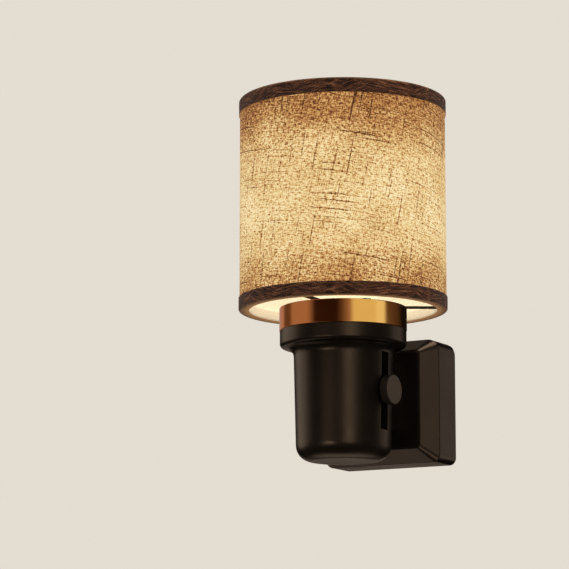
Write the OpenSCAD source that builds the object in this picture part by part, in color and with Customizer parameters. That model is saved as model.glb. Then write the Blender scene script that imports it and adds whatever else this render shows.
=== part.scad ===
// Plug-in night light: a plug housing with two flat blades, a neck, a round lamp cup with a
// dimmer slider in its side, a metal collar, a frosted LED diffuser and a linen drum shade.
// The origin lies on the housing's back face, midway between the blades. +Y runs into the
// wall, -Y towards the room and +Z up.

/* [Plug housing] */
// Width of the plug housing
base_w = 44.8; // [42:0.2:56]
// Height of the plug housing
base_h = 43.4; // [41:0.2:54]
// Height of the blades above the housing's lower edge
blade_rise = 17.1; // [15.5:0.1:21]
// Depth of the rear shell, from the wall to the seam
rear_depth = 13.2; // [12.4:0.1:18]
// Depth of the bevelled front cover
cover_depth = 7.1; // [6:0.1:9]
// How far the cover's bevel leans in on every side
bevel_inset = 4.6; // [3:0.1:6]
// Radius of the housing's upper corners
top_corner_r = 4.5; // [3:0.1:6]
// Radius of the housing's lower corners
low_corner_r = 2.5; // [2.2:0.1:5]
// Wall of the housing
base_wall = 1.8; // [1.4:0.1:2.2]
// Back wall of the housing, which carries the blades
back_wall = 2.2; // [2:0.1:3]
// Open seam between the rear shell and the cover
seam_gap = 0.25; // [0.15:0.05:0.4]

/* [Blades] */
// Distance between the blades' middles
blade_pitch = 12.7; // [11:0.1:15]
// Height of a blade
blade_w = 6.35; // [5:0.05:8]
// Thickness of a blade
blade_t = 1.5; // [1.2:0.05:1.8]
// Length of a blade in front of the housing
blade_len = 17.5; // [15:0.5:20]
// Diameter of the hole in a blade
blade_hole_d = 4; // [3:0.1:4.8]
// Distance of that hole from the housing
blade_hole_y = 11.9; // [11:0.1:12.5]

/* [Lamp cup] */
// Gap between the housing's face and the collar
collar_gap = 0.25; // [0.2:0.05:6]
// Diameter of the cup under its flange
cup_d = 34.2; // [33:0.2:42]
// How much narrower the cup is at its foot
cup_taper = 1.4; // [0:0.1:2]
// Height of the cup, from its foot to the flange's top
cup_h = 45.2; // [44:0.2:55]
// Radius of the cup's lower edge
cup_edge_r = 5.6; // [4:0.1:6]
// Wall of the cup
cup_wall = 2; // [1.6:0.1:2.4]
// Height of the flange's top above the housing
head_step = 0.2; // [0.2:0.1:6]
// How far the flange stands out past the cup
flange_over = 4.8; // [4.4:0.1:8]
// Thickness of the flange
flange_t = 5.8; // [5.4:0.1:8]
// Width of the neck that joins the cup to the housing
neck_w = 19; // [18:0.5:24]
// Height of the neck's underside above the housing's lower bevel
neck_rise = 5.8; // [1:0.1:7]

/* [Dimmer] */
// Angle from the cup's side to the slot's middle, towards the front
dimmer_turn = 4; // [0:0.5:10]
// Travel of the knob from end to end
travel = 15; // [12:0.5:18]
// Width of the slot in the cup
slot_w = 4.4; // [3.4:0.1:5.2]
// Gap between the slot's upper end and the flange
slot_top_gap = 2.7; // [2.4:0.1:4]
// Spare length of the slot above the stem at the knob's highest place
slot_top_spare = 1.7; // [1:0.1:3]
// Spare length of the slot below the stem at the knob's lowest place
slot_low_spare = 2; // [1:0.1:3]
// Height of the knob's stem in the slot
stem_h = 8; // [6:0.5:9]
// Diameter of the knob
knob_d = 10.3; // [9:0.1:12.4]
// Thickness of the knob's disc
knob_t = 2.9; // [2.2:0.1:3.6]
// Gap between the disc and the cup
knob_gap = 0.5; // [0.4:0.05:1]
// Gap between the disc and the flange at the knob's highest place
knob_top_gap = 3.3; // [3.3:0.1:5]

/* [Lamp head] */
// How far the metal collar stands out past the flange
collar_step = 0.15; // [0:0.05:0.5]
// Height of the collar
collar_h = 8; // [7.6:0.1:10]
// Wall of the collar
collar_wall = 0.9; // [0.7:0.1:1.2]
// Diameter of the diffuser's tube
diffuser_d = 23.8; // [21:0.2:29]
// Height of the diffuser above the collar
diffuser_h = 33; // [24:0.5:40]
// Wall of the diffuser
diffuser_wall = 1.5; // [1.2:0.1:1.8]

/* [Shade] */
// Diameter of the linen
shade_d = 71.8; // [64:0.2:88]
// Height of the shade over its trims
shade_h = 74.5; // [60:0.5:95]
// How far the shade's lower edge hangs below the collar's top
shade_drop = 1; // [0.6:0.1:2]
// Least gap between the shade and the wall
shade_wall_gap = 6; // [2:0.5:12]
// Thickness of the linen
linen_t = 0.5; // [0.4:0.1:0.8]
// Thickness of the stiff liner that the linen is glued to
liner_t = 0.4; // [0.3:0.1:0.6]
// Thickness of the trims
trim_t = 0.3; // [0.2:0.05:0.4]
// Height of the upper trim
top_trim_h = 5.2; // [4.5:0.1:8]
// Height of the lower trim
low_trim_h = 4.5; // [4:0.1:8]
// Height of each hoop inside the shade
hoop_h = 3.4; // [3:0.1:4]
// Radial width of each hoop
hoop_w = 2.3; // [1.6:0.1:3]
// Width of a spider arm
arm_w = 1.3; // [1:0.1:2]
// Thickness of the spider's sheet
arm_t = 0.8; // [0.6:0.1:1]

/* [Hidden] */

$fn = 96;
eps = 0.01;
fit_gap = 0.05;      // clearance between pieces that are pressed or glued together
loose_gap = 0.3;     // clearance around what moves or drops in
board_t = 1.6;       // thickness of every circuit board

// Planes and sides of the plug housing
base_low = -blade_rise;
base_top = base_low + base_h;
seam_y = -rear_depth;
face_y = -rear_depth - cover_depth;
cover_inner_y = face_y + base_wall;
lip_t = 1.2;
lip_len = 1.5;
edge_r = 1.4;

// Screws that hold the cover to the rear shell, from the back
shell_screw_side = 3.5;
shell_screw_end = 3.6;
shell_screw_x = base_w / 2 - bevel_inset - shell_screw_side;
shell_screw_z = [base_low + bevel_inset + shell_screw_end, base_top - bevel_inset - shell_screw_end];
shell_boss_d = 5.4;
shell_screw_d = 2.5;
shell_head_d = 4.6;
shell_head_t = 1.1;
shell_screw_len = 11;
screw_sink = 0.1;    // how far a screw's head lies below the face around it
bore_spare = 0.5;    // how much deeper a screw's bore is than the screw

// Driver board and what it carries
blade_head_t = 2;
blade_head_w = blade_w + 2.6;
blade_tail_w = 3;
blade_tail_proud = 1.2;
blade_tip = 2;
board_stand = 5.6;
board_edge = 1;
board_back_y = -back_wall - board_stand;
board_front_y = board_back_y - board_t;
board_w = 2 * (shell_screw_x - shell_boss_d / 2 - 0.6);
board_low = base_low + base_wall + board_edge;
board_top = base_top - base_wall - board_edge;
blade_tail_y = board_front_y - blade_tail_proud;
post_d = 4;
cover_room = 1.1;
capacitor_d = board_front_y - cover_inner_y - cover_room;
capacitor_len = 12;
capacitor_low = board_top - 0.9 - capacitor_d;
chip_x = 5.4;
chip_w = 4.9;
chip_h = 3.8;
chip_z = (blade_tail_w / 2 + capacitor_low) / 2;
coil_d = 6.6;
coil_h = 5.6;
coil_rim = 1;
part_low_z = board_low + 5;
fuse_d = 2.8;
fuse_len = 6.4;
fuse_lead = 0.6;

// Rings of the lamp head, from the diffuser out to the collar
diffuser_r = diffuser_d / 2;
foot_r = diffuser_r + 1;
lip_r = diffuser_r + loose_gap;
well_r = foot_r + loose_gap;
well_out_r = well_r + 1.8;
head_screw_d = 2.2;
head_head_d = 4;
head_head_t = 1.4;
head_room = head_head_d + 0.4;
plate_gap = 0.2;

// Rings of the cup and the shade, and the lamp's axis, which clears the housing and the wall
cup_top_r = cup_d / 2;
cup_low_r = (cup_d - cup_taper) / 2;
inner_r = cup_low_r - cup_wall;
flange_r = max(cup_top_r + flange_over,
    well_out_r + head_room + plate_gap + collar_wall - collar_step);
collar_r = flange_r + collar_step;
shade_r = shade_d / 2;
trim_r = shade_r + fit_gap / 2 + trim_t;
lamp_reach = max(collar_gap + collar_r - face_y, trim_r + shade_wall_gap);
axis_y = -lamp_reach;

// Planes of the lamp cup and its neck
flange_rise = base_top + head_step;
flange_low = flange_rise - flange_t;
inside_z = flange_rise - 8;      // level that the pieces in the cup and the neck are set out from
cove_r = min(3.3, 0.69 * flange_over);
flange_edge_r = min(1.3, 0.28 * flange_over);
cup_foot = flange_rise - cup_h;
cup_floor = cup_foot + cup_wall;
wall_low_z = cup_foot + cup_edge_r;
wall_top_z = flange_low - cove_r;
neck_top = flange_low + eps;
neck_low = base_low + bevel_inset + neck_rise;
neck_mid_z = (inside_z + neck_low) / 2;
neck_edge_r = 1.5;
wire_bore_d = 7;
neck_screw_x = 6.4;
neck_screw_edge = 5.65;
neck_screw_z = [neck_low + neck_screw_edge, inside_z - neck_screw_edge];
neck_screw_d = 2.4;
neck_head_d = 4.6;
neck_head_t = 1.4;
neck_screw_len = 8.5;

// Slot and knob. The knob goes as high as the flange and the slot's upper end allow.
slot_top = flange_low - slot_top_gap;
knob_z = min(flange_low - knob_top_gap - (travel + knob_d) / 2,
    slot_top - slot_top_spare - (travel + stem_h) / 2);
slot_low = knob_z - (travel + stem_h) / 2 - slot_low_spare;
stem_t = slot_w - 0.8;
disc_x = cup_top_r + knob_gap;
knob_edge_r = 0.35;
knob_back_r = 0.4;

// Slide potentiometer and its board
case_gap = 2.1;
case_depth = 6.3;
case_w = 8.6;
case_wall = 0.6;
case_x = inner_r - case_gap;
case_len = travel + 12;
track_t = 1;
lever_t = 1.2;
lever_w = 4;
lever_reach = 0.8;
carriage_gap = 0.2;
carriage_w = case_w - 2 * case_wall - 2 * loose_gap;
carriage_len = 6;
stem_x = case_x + 0.7;
dimmer_board_x = case_x - case_depth;
dimmer_face_x = dimmer_board_x - board_t;
dimmer_board_w = 21;
dimmer_board_low = cup_floor + 3.4;
dimmer_board_top = inside_z + 3.5;
rail_h = 15;
rail_t = 4.4;
rail_grip = 1.1;
transistor = [2.3, 6.4, 6];
transistor_z = dimmer_board_top - 18;
transistor_leg = 0.6;
resistor = [0.6, 1.6, 1];

// Lamp head
collar_top = flange_rise + collar_h;
lip_low = collar_top - 0.8;
collar_edge_r = 0.3;
foot_t = 1.5;
well_floor = lip_low - 3.2;
plate_r = collar_r - collar_wall - plate_gap;
plate_t = 2.2;
skirt_t = 2;
head_screw_r = (plate_r + well_out_r) / 2 + 0.2;
head_boss_d = 4.8;
head_sink = 0.4;
boss_low = flange_rise + 0.1;
head_screw_len = 9.5;
wire_hole_d = 5.6;
led_board_t = lip_low - well_floor - foot_t - 0.1;
led_count = 8;
led_w = 2.8;
led_h = 0.7;
led_ring_r = diffuser_r - diffuser_wall - led_w / 2 - 1.2;

// Shade and its spider
shade_low = collar_top - shade_drop;
shade_top = shade_low + shade_h;
liner_r = shade_r - linen_t - 0.02;
hoop_r = liner_r - liner_t - fit_gap;
hoop_in_r = hoop_r - hoop_w;
hem_gap = 0.5;
trim_edge_r = 0.9;
linen_gap = trim_edge_r + fit_gap;
spider_z = collar_top;
spider_in_r = lip_r + 0.3;
spider_out_r = spider_in_r + 4.6;
shade_screw_r = (spider_in_r + spider_out_r) / 2;
shade_screw_d = 1.8;
shade_boss_d = shade_screw_d + 2.4;
shade_head_d = 3.4;
shade_head_t = 0.5;
shade_screw_len = 5;
arm_angles = [-90, 30, 150];
screw_angles = [-30, 90, 210];

// Leads, each from one board to the next. side is -1 for the red one and 1 for the black one.
lead_d = 1.3;
lead_sides = 8;
solder_gap = 0.1;
dc_side = 1.3;
dc_end_side = dimmer_board_w / 2 - 3.5;
dc_end_out = dimmer_face_x - solder_gap;
dc_end_x = dc_end_out * cos(dimmer_turn) + dc_end_side * sin(dimmer_turn);
dc_end_y = axis_y + dc_end_side * cos(dimmer_turn) - dc_end_out * sin(dimmer_turn);
function dc_route(side) = let (low = -9.4 + 1.5 * side, last = dc_end_x - side * dc_side) [
    [0, board_front_y - solder_gap, 0], [0, face_y + 2, 0.1], [0, face_y - 5, 0],
    [0, dc_end_y + 4.4, -1.6], [0.2, dc_end_y + 1, -6.2],
    [last / 2, dc_end_y + last / 2 * tan(dimmer_turn), low], [last, dc_end_y, low]];
led_route = [[dimmer_face_x - solder_gap, 2.6, inside_z - 1.5], [3, 2.6, inside_z - 1.2],
    [1.6, 2.2, inside_z + 1.5], [0.9, 1.3, well_floor - 5], [0.6, 1, well_floor - solder_gap]];

// Points of an arc about (x, z), from angle a to angle b
function arc(x, z, r, a, b, steps = 8) =
    [for (i = [0:steps]) let (t = a + (b - a) * i / steps) [x + r * cos(t), z + r * sin(t)]];

// A point of the smooth curve between b and c, with a and d their outer neighbours
function blend(a, b, c, d, t) = 0.5 * (2 * b + (c - a) * t
    + (2 * a - 5 * b + 4 * c - d) * t * t + (3 * b - a - 3 * c + d) * t * t * t);
function smooth(p, steps = 4) = concat(
    [for (i = [0:len(p) - 2]) for (s = [0:steps - 1])
        blend(p[max(i - 1, 0)], p[i], p[i + 1], p[min(i + 2, len(p) - 1)], s / steps)],
    [p[len(p) - 1]]);
function unit(v) = v / norm(v);

// A round lead swept along a route. side is a direction that the route never takes.
module lead(route, side) {
    p = smooth(route);
    last = len(p) - 1;
    rings = [for (i = [0:last]) let (
            along = unit(p[min(i + 1, last)] - p[max(i - 1, 0)]),
            u = unit(cross(along, side)),
            v = cross(along, u))
        for (k = [0:lead_sides - 1])
            p[i] + lead_d / 2 * (cos(360 * k / lead_sides) * u + sin(360 * k / lead_sides) * v)];
    sides = [for (i = [0:last - 1]) for (k = [0:lead_sides - 1])
        let (a = i * lead_sides, m = (k + 1) % lead_sides)
            [a + k, a + m, a + lead_sides + m, a + lead_sides + k]];
    start = [for (k = [lead_sides - 1:-1:0]) k];
    end = [for (k = [0:lead_sides - 1]) last * lead_sides + k];
    polyhedron(rings, concat([start], sides, [end]));
}

// The housing's outline, set in by a margin, drawn in X and Z
module base_outline(margin) {
    rt = max(0.4, top_corner_r - margin);
    rl = max(0.4, low_corner_r - margin);
    x = base_w / 2 - margin;
    low = base_low + margin;
    top = base_top - margin;
    translate([-x + rt, low + rl]) square([2 * (x - rt), top - low - rl]);
    translate([-x + rl, low]) square([2 * (x - rl), top - low - rt]);
    translate([-x, low + rl]) square([2 * x, top - low - rt - rl]);
    for (s = [-1, 1]) {
        translate([s * (x - rt), top - rt]) circle(rt);
        translate([s * (x - rl), low + rl]) circle(rl);
    }
}

// Extrudes an outline in X and Z along Y, from the plane "from" to the plane "to" before it
module along_y(from, to) {
    translate([0, from, 0]) rotate([90, 0, 0]) linear_extrude(from - to) children();
}

module rod_y(x, z, from, to, d) {
    translate([x, from, z]) rotate([90, 0, 0]) cylinder(h = from - to, d = d);
}

// The bevelled form of the cover, set in by a margin and cut at its back plane
module bevel_form(margin) {
    front = face_y + margin;
    r = max(0.3, edge_r - margin / 2);
    x = base_w / 2 - bevel_inset - margin / 2 - r;
    low = base_low + bevel_inset + margin / 2 + r;
    top = base_top - bevel_inset - margin / 2 - r;
    hull() {
        along_y(seam_y - seam_gap, seam_y - seam_gap - eps) base_outline(margin, $fn = 40);
        for (s = [-1, 1], z = [low, top], a = [0:22.5:90])
            translate([s * x, front + r * (1 - sin(a)), z]) rotate([-90, 0, 0])
                cylinder(h = eps, r = max(0.02, r * cos(a)), $fn = 24);
    }
}

module at_shell_screws() {
    for (s = [-1, 1], z = shell_screw_z) translate([s * shell_screw_x, 0, z]) children();
}

module at_neck_screws() {
    for (s = [-1, 1], z = neck_screw_z) translate([s * neck_screw_x, 0, z]) children();
}

module around_axis(angles, r) {
    for (a = angles) translate([0, axis_y, 0]) rotate([0, 0, a]) translate([r, 0, 0]) children();
}

module on_axis() {
    translate([0, axis_y, 0]) children();
}

// The dimmer's own frame: its X runs from the lamp's axis out through the slot's middle
module on_dimmer() {
    on_axis() rotate([0, 0, -dimmer_turn]) children();
}

module rear_shell() color("#1c1917") difference() {
    union() {
        difference() {
            along_y(0, seam_y) base_outline(0);
            along_y(-back_wall, seam_y - 1) base_outline(base_wall);
        }
        for (z = [board_low + post_d / 2 + 0.4, neck_mid_z])
            rod_y(0, z, -back_wall + eps, board_back_y, post_d);
    }
    for (s = [-1, 1]) translate([s * blade_pitch / 2, 0, 0])
        cube([blade_t + 2 * fit_gap, 4 * back_wall, blade_w + 2 * fit_gap], center = true);
    at_shell_screws() {
        rod_y(0, 0, 1, -shell_head_t - screw_sink, shell_head_d + 0.4);
        rod_y(0, 0, 1, -back_wall - 1, shell_screw_d + 0.4);
    }
}

module front_cover() color("#1f1b18") difference() {
    union() {
        difference() {
            bevel_form(0);
            bevel_form(base_wall);
        }
        along_y(seam_y + lip_len, seam_y - seam_gap - 0.8) difference() {
            base_outline(base_wall + fit_gap);
            base_outline(base_wall + fit_gap + lip_t);
        }
        at_shell_screws() rod_y(0, 0, -back_wall - fit_gap, cover_inner_y - eps, shell_boss_d);
    }
    at_shell_screws()
        rod_y(0, 0, -1, -shell_head_t - shell_screw_len - bore_spare, shell_screw_d + 0.1);
    at_neck_screws() rod_y(0, 0, cover_inner_y + 1, face_y - 1, neck_screw_d + 0.4);
    rod_y(0, neck_mid_z, cover_inner_y + 1, face_y - 1, wire_bore_d);
}

// A pan-head screw along -Y, its head's top at the plane "from"
module screw_y(from, d, length, head_d, head_t) {
    difference() {
        union() {
            rod_y(0, 0, from, from - head_t, head_d);
            rod_y(0, 0, from - head_t + eps, from - head_t - length, d);
        }
        for (a = [0, 90]) translate([0, from, 0]) rotate([0, a, 0])
            cube([head_d * 0.6, head_t, head_d * 0.14], center = true);
    }
}

module shell_screws() color("#8f9296") at_shell_screws()
    screw_y(-screw_sink, shell_screw_d, shell_screw_len, shell_head_d, shell_head_t);

module blade(side) {
    translate([side * blade_pitch / 2 - blade_t / 2, 0, 0]) rotate([90, 0, 90])
        linear_extrude(blade_t) difference() {
            union() {
                polygon([[-back_wall - eps, -blade_w / 2], [blade_len - blade_tip, -blade_w / 2],
                    [blade_len, -blade_w / 2 + 1.3], [blade_len, blade_w / 2 - 1.3],
                    [blade_len - blade_tip, blade_w / 2], [-back_wall - eps, blade_w / 2]]);
                translate([-back_wall - blade_head_t, -blade_head_w / 2])
                    square([blade_head_t, blade_head_w]);
                translate([blade_tail_y, -blade_tail_w / 2])
                    square([-back_wall - blade_tail_y, blade_tail_w]);
            }
            translate([blade_hole_y, 0]) circle(d = blade_hole_d);
        }
}

module blade_left() color("#c9b27a") blade(-1);
module blade_right() color("#c9b27a") blade(1);

module driver_board() color("#2f5d3a") difference() {
    along_y(board_back_y, board_front_y)
        translate([-board_w / 2, board_low]) square([board_w, board_top - board_low]);
    for (s = [-1, 1]) translate([s * blade_pitch / 2, board_back_y, 0])
        cube([blade_t + 2 * fit_gap, 4 * board_t, blade_tail_w + 2 * fit_gap], center = true);
}

module filter_capacitor() color("#1d2430") {
    y = board_front_y - capacitor_d / 2;
    z = capacitor_low + capacitor_d / 2;
    translate([-capacitor_len / 2, y, z]) rotate([0, 90, 0])
        cylinder(h = capacitor_len, d = capacitor_d);
    for (s = [-1, 1]) translate([capacitor_len / 2 - eps, y, z + s * 1.25])
        rotate([0, 90, 0]) cylinder(h = 1, d = 0.6, $fn = 24);
}

// A flat package on the board's front face with rows of legs above and below
module package(x, depth, legs) {
    leg = [0.45, 0.7, 1.2];
    translate([x - chip_w / 2, board_front_y - 0.15 - depth, chip_z - chip_h / 2])
        cube([chip_w, depth, chip_h]);
    for (i = [0:legs - 1], s = [-1, 1])
        translate([x + (i - (legs - 1) / 2) * chip_w / legs, board_front_y - leg.y / 2,
            chip_z + s * (chip_h / 2 + 0.4)]) cube(leg, center = true);
}

module bridge_rectifier() color("#17181a") package(chip_x, 2.4, 2);
module driver_chip() color("#1a1b1e") package(-chip_x, 1.5, 4);

module filter_inductor() color("#3a3532") {
    low_y = board_front_y - coil_rim;
    top_y = board_front_y - coil_h + coil_rim;
    rod_y(-chip_x, part_low_z, board_front_y, low_y, coil_d);
    rod_y(-chip_x, part_low_z, low_y + eps, top_y, coil_d - 1.2);
    rod_y(-chip_x, part_low_z, top_y + eps, top_y - coil_rim, coil_d);
}

module fuse_resistor() color("#4f7a5a") {
    y = board_front_y - fuse_d / 2 - 0.3;
    half = fuse_lead / 2;
    translate([chip_x, y, part_low_z - fuse_len / 2]) cylinder(h = fuse_len, d = fuse_d);
    for (s = [-1, 1]) translate([chip_x - half, y - half, part_low_z + s * (fuse_len / 2 + 0.45)]) {
        translate([0, 0, -0.5]) cube([fuse_lead, fuse_lead, 1]);
        translate([0, 0, s * 0.35 - half]) cube([fuse_lead, board_front_y - y + half, fuse_lead]);
    }
}

module dc_lead(side) {
    translate([side * dc_side, 0, neck_mid_z]) lead(dc_route(side), [1, 0.3, 0]);
}

module dc_lead_red() color("#a8231c") dc_lead(-1);
module dc_lead_black() color("#141414") dc_lead(1);

// The cup's section: out along the foot, up the tapered wall, over the cove and the flange
module cup_section() {
    polygon(concat([[0, cup_foot]],
        arc(cup_low_r - cup_edge_r, wall_low_z, cup_edge_r, -90, 0),
        arc(cup_top_r + cove_r, wall_top_z, cove_r, 180, 90),
        arc(flange_r - flange_edge_r, flange_low + flange_edge_r, flange_edge_r, -90, 0),
        [[flange_r, flange_rise], [0, flange_rise]]));
}

module cup_hollow() {
    inner_edge_r = max(1, cup_edge_r - cup_wall);
    polygon(concat([[0, cup_floor]],
        arc(inner_r - inner_edge_r, cup_floor + inner_edge_r, inner_edge_r, -90, 0),
        [[cup_top_r - cup_wall, wall_top_z], [cup_top_r - cup_wall, flange_rise + 1],
            [0, flange_rise + 1]]));
}

// The cup's form at the middle of its wall, which the neck and the rails end in
module wall_middle() {
    low_r = cup_low_r - cup_wall / 2;
    top_r = cup_top_r - cup_wall / 2;
    rotate_extrude() polygon([[0, cup_foot + 1], [low_r, cup_foot + 1], [low_r, wall_low_z],
        [top_r, wall_top_z], [top_r, flange_low + 1], [0, flange_low + 1]]);
}

module neck_block() {
    x = neck_w / 2;
    r = neck_edge_r;
    along_y(face_y, axis_y + inner_r) {
        translate([-x, neck_low + r]) square([2 * x, neck_top - neck_low - r]);
        translate([-x + r, neck_low]) square([2 * (x - r), r + eps]);
        for (s = [-1, 1]) translate([s * (x - r), neck_low + r]) circle(r);
    }
}

// Two grooved rails inside the cup that grip the dimmer board's edges
module board_rails() {
    x = dimmer_board_x - board_t / 2;
    near = dimmer_board_w / 2 - rail_grip;
    for (s = [-1, 1]) intersection() {
        translate([x - rail_t / 2, s > 0 ? near : -cup_top_r, dimmer_board_low - 2])
            cube([rail_t, cup_top_r - near, rail_h]);
        wall_middle();
    }
}

module lamp_cup() color("#211c19") difference() {
    union() {
        on_axis() difference() {
            rotate_extrude() cup_section();
            rotate_extrude() cup_hollow();
        }
        difference() {
            neck_block();
            on_axis() wall_middle();
        }
        on_dimmer() board_rails();
    }
    on_dimmer() {
        translate([inner_r - 1, -slot_w / 2, slot_low]) cube([20, slot_w, slot_top - slot_low]);
        translate([dimmer_face_x - fit_gap, -dimmer_board_w / 2 - fit_gap, dimmer_board_low - fit_gap])
            cube([board_t + 2 * fit_gap, dimmer_board_w + 2 * fit_gap, 40]);
    }
    rod_y(0, neck_mid_z, face_y + 1, axis_y + inner_r - 4, wire_bore_d);
    at_neck_screws()
        rod_y(0, 0, face_y + 1, cover_inner_y - neck_screw_len - bore_spare, neck_screw_d + 0.1);
    around_axis(arm_angles, head_screw_r)
        translate([0, 0, lip_low - head_sink - head_head_t - head_screw_len - bore_spare])
            cylinder(h = 40, d = head_screw_d + 0.1);
}

module neck_screws() color("#8f9296") at_neck_screws()
    screw_y(cover_inner_y + neck_head_t, neck_screw_d, neck_screw_len, neck_head_d, neck_head_t);

module dimmer_board() color("#2f5d3a") on_dimmer()
    translate([dimmer_face_x, -dimmer_board_w / 2, dimmer_board_low])
        cube([board_t, dimmer_board_w, dimmer_board_top - dimmer_board_low]);

module dimmer_transistor() color("#17181a") on_dimmer() {
    low_y = -8;
    translate([dimmer_face_x - solder_gap - transistor.x, low_y, transistor_z]) cube(transistor);
    for (i = [0:2]) translate([dimmer_face_x - transistor_leg, low_y + 0.9 + 2.3 * i, transistor_z - 2])
        cube([transistor_leg, transistor_leg, 2.2]);
}

module dimmer_resistors() color("#22252a") on_dimmer() for (i = [0:2])
    translate([dimmer_face_x - resistor.x, 6, dimmer_board_top - 13 + 3 * i]) cube(resistor);

// The slide potentiometer's folded metal case, open along the lever's path
module slider_case() color("#a9abad") on_dimmer() translate([0, 0, knob_z]) difference() {
    translate([dimmer_board_x, -case_w / 2, -case_len / 2]) cube([case_depth, case_w, case_len]);
    translate([dimmer_board_x - 1, -case_w / 2 + case_wall, -case_len / 2 + case_wall])
        cube([case_depth - case_wall + 1, case_w - 2 * case_wall, case_len - 2 * case_wall]);
    translate([case_x - 2, -lever_t / 2 - loose_gap, -(travel + lever_w) / 2 - loose_gap])
        cube([4, lever_t + 2 * loose_gap, travel + lever_w + 2 * loose_gap]);
}

module slider_track() color("#5a3d22") on_dimmer() translate([0, 0, knob_z]) {
    inset = case_wall + fit_gap;
    translate([dimmer_board_x, inset - case_w / 2, inset - case_len / 2])
        cube([track_t, case_w - 2 * inset, case_len - 2 * inset]);
}

module slider_carriage() color("#d8d4c8") on_dimmer() translate([0, 0, knob_z]) {
    low_x = dimmer_board_x + track_t + carriage_gap;
    high_x = case_x - case_wall - loose_gap;
    translate([low_x, -carriage_w / 2, -carriage_len / 2])
        cube([high_x - low_x, carriage_w, carriage_len]);
    translate([high_x - eps, -lever_t / 2, -lever_w / 2])
        cube([disc_x + lever_reach - high_x, lever_t, lever_w]);
}

module dimmer_knob() color("#26211e") on_dimmer() translate([0, 0, knob_z]) difference() {
    union() {
        translate([disc_x, 0, 0]) rotate([0, 90, 0]) rotate_extrude()
            polygon(concat([[0, 0]],
                arc(knob_d / 2 - knob_back_r, knob_back_r, knob_back_r, -90, 0, 5),
                arc(knob_d / 2 - knob_edge_r, knob_t - knob_edge_r, knob_edge_r, 0, 90, 5),
                [[0, knob_t]]));
        translate([stem_x, -stem_t / 2, -stem_h / 2]) cube([disc_x - stem_x + eps, stem_t, stem_h]);
    }
    translate([stem_x - 1, -lever_t / 2 - fit_gap, -lever_w / 2 - fit_gap])
        cube([disc_x + lever_reach + fit_gap - stem_x + 1, lever_t + 2 * fit_gap,
            lever_w + 2 * fit_gap]);
}

module led_lead(side) {
    on_dimmer() mirror([0, side < 0 ? 1 : 0, 0]) lead(led_route, [0, 1, 0]);
}

module led_lead_red() color("#a8231c") led_lead(-1);
module led_lead_black() color("#141414") led_lead(1);

// A dished plate that carries the LED board in its well and stands on the cup's flange
module head_plate() color("#2a2725") difference() {
    on_axis() union() {
        under = lip_low - plate_t;
        rotate_extrude() polygon([[0, well_floor - plate_t], [well_out_r, well_floor - plate_t],
            [well_out_r, under], [plate_r - skirt_t, under], [plate_r - skirt_t, flange_rise],
            [plate_r, flange_rise], [plate_r, lip_low], [well_r, lip_low], [well_r, well_floor],
            [0, well_floor]]);
        intersection() {
            for (a = arm_angles) rotate([0, 0, a]) translate([head_screw_r, 0, boss_low])
                cylinder(h = under + plate_t / 2 - boss_low, d = head_boss_d);
            cylinder(h = 200, r = plate_r - 0.1);
        }
        for (a = screw_angles) rotate([0, 0, a]) translate([shade_screw_r, 0, boss_low + 1])
            cylinder(h = under + plate_t / 2 - boss_low - 1, d = shade_boss_d);
    }
    on_axis() translate([0, 0, well_floor]) cylinder(h = 20, r = well_r);
    around_axis(arm_angles, head_screw_r) {
        translate([0, 0, flange_rise - 1]) cylinder(h = 20, d = head_screw_d + 0.4);
        translate([0, 0, lip_low - head_head_t - head_sink]) cylinder(h = 10, d = head_room);
    }
    around_axis(screw_angles, shade_screw_r)
        translate([0, 0, spider_z + arm_t - shade_screw_len - bore_spare])
            cylinder(h = 20, d = shade_screw_d + 0.1);
    on_axis() cylinder(h = 200, d = wire_hole_d, center = true);
}

// A pan-head screw along -Z, its head's top at the origin
module screw_z(d, length, head_d, head_t) {
    difference() {
        union() {
            translate([0, 0, -head_t]) cylinder(h = head_t, d = head_d);
            translate([0, 0, -head_t - length]) cylinder(h = length + eps, d = d);
        }
        for (a = [0, 90]) rotate([0, 0, a])
            cube([head_d * 0.6, head_d * 0.14, head_t], center = true);
    }
}

module head_screws() color("#8f9296") around_axis(arm_angles, head_screw_r)
    translate([0, 0, lip_low - head_sink])
        screw_z(head_screw_d, head_screw_len, head_head_d, head_head_t);

module brass_collar() color("#b5703a") difference() {
    on_axis() rotate_extrude() polygon(concat(
        [[collar_r - collar_wall, flange_rise], [collar_r, flange_rise]],
        arc(collar_r - collar_edge_r, collar_top - collar_edge_r, collar_edge_r, 0, 90, 5),
        [[lip_r, collar_top], [lip_r, lip_low], [collar_r - collar_wall, lip_low]]));
    around_axis(screw_angles, shade_screw_r)
        translate([0, 0, lip_low - 1]) cylinder(h = 4, d = shade_screw_d + 0.4);
}

module led_board() color("#e8e6e0") on_axis()
    translate([0, 0, well_floor]) cylinder(h = led_board_t, r = foot_r);

module led_chips() color("#e3c65a") around_axis([for (i = [0:led_count - 1]) i * 360 / led_count],
    led_ring_r)
        translate([-led_w / 2, -led_w / 2, well_floor + led_board_t]) cube([led_w, led_w, led_h]);

module diffuser() color("#f4ead2") on_axis() {
    top = collar_top + diffuser_h;
    foot_low = well_floor + led_board_t;
    in_r = diffuser_r - diffuser_wall;
    rotate_extrude() polygon(concat(
        [[in_r, foot_low], [foot_r, foot_low], [foot_r, foot_low + foot_t],
            [diffuser_r, foot_low + foot_t]],
        arc(0, top - diffuser_r, diffuser_r, 0, 90, 12),
        arc(0, top - diffuser_r, in_r, 90, 0, 12)));
}

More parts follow.
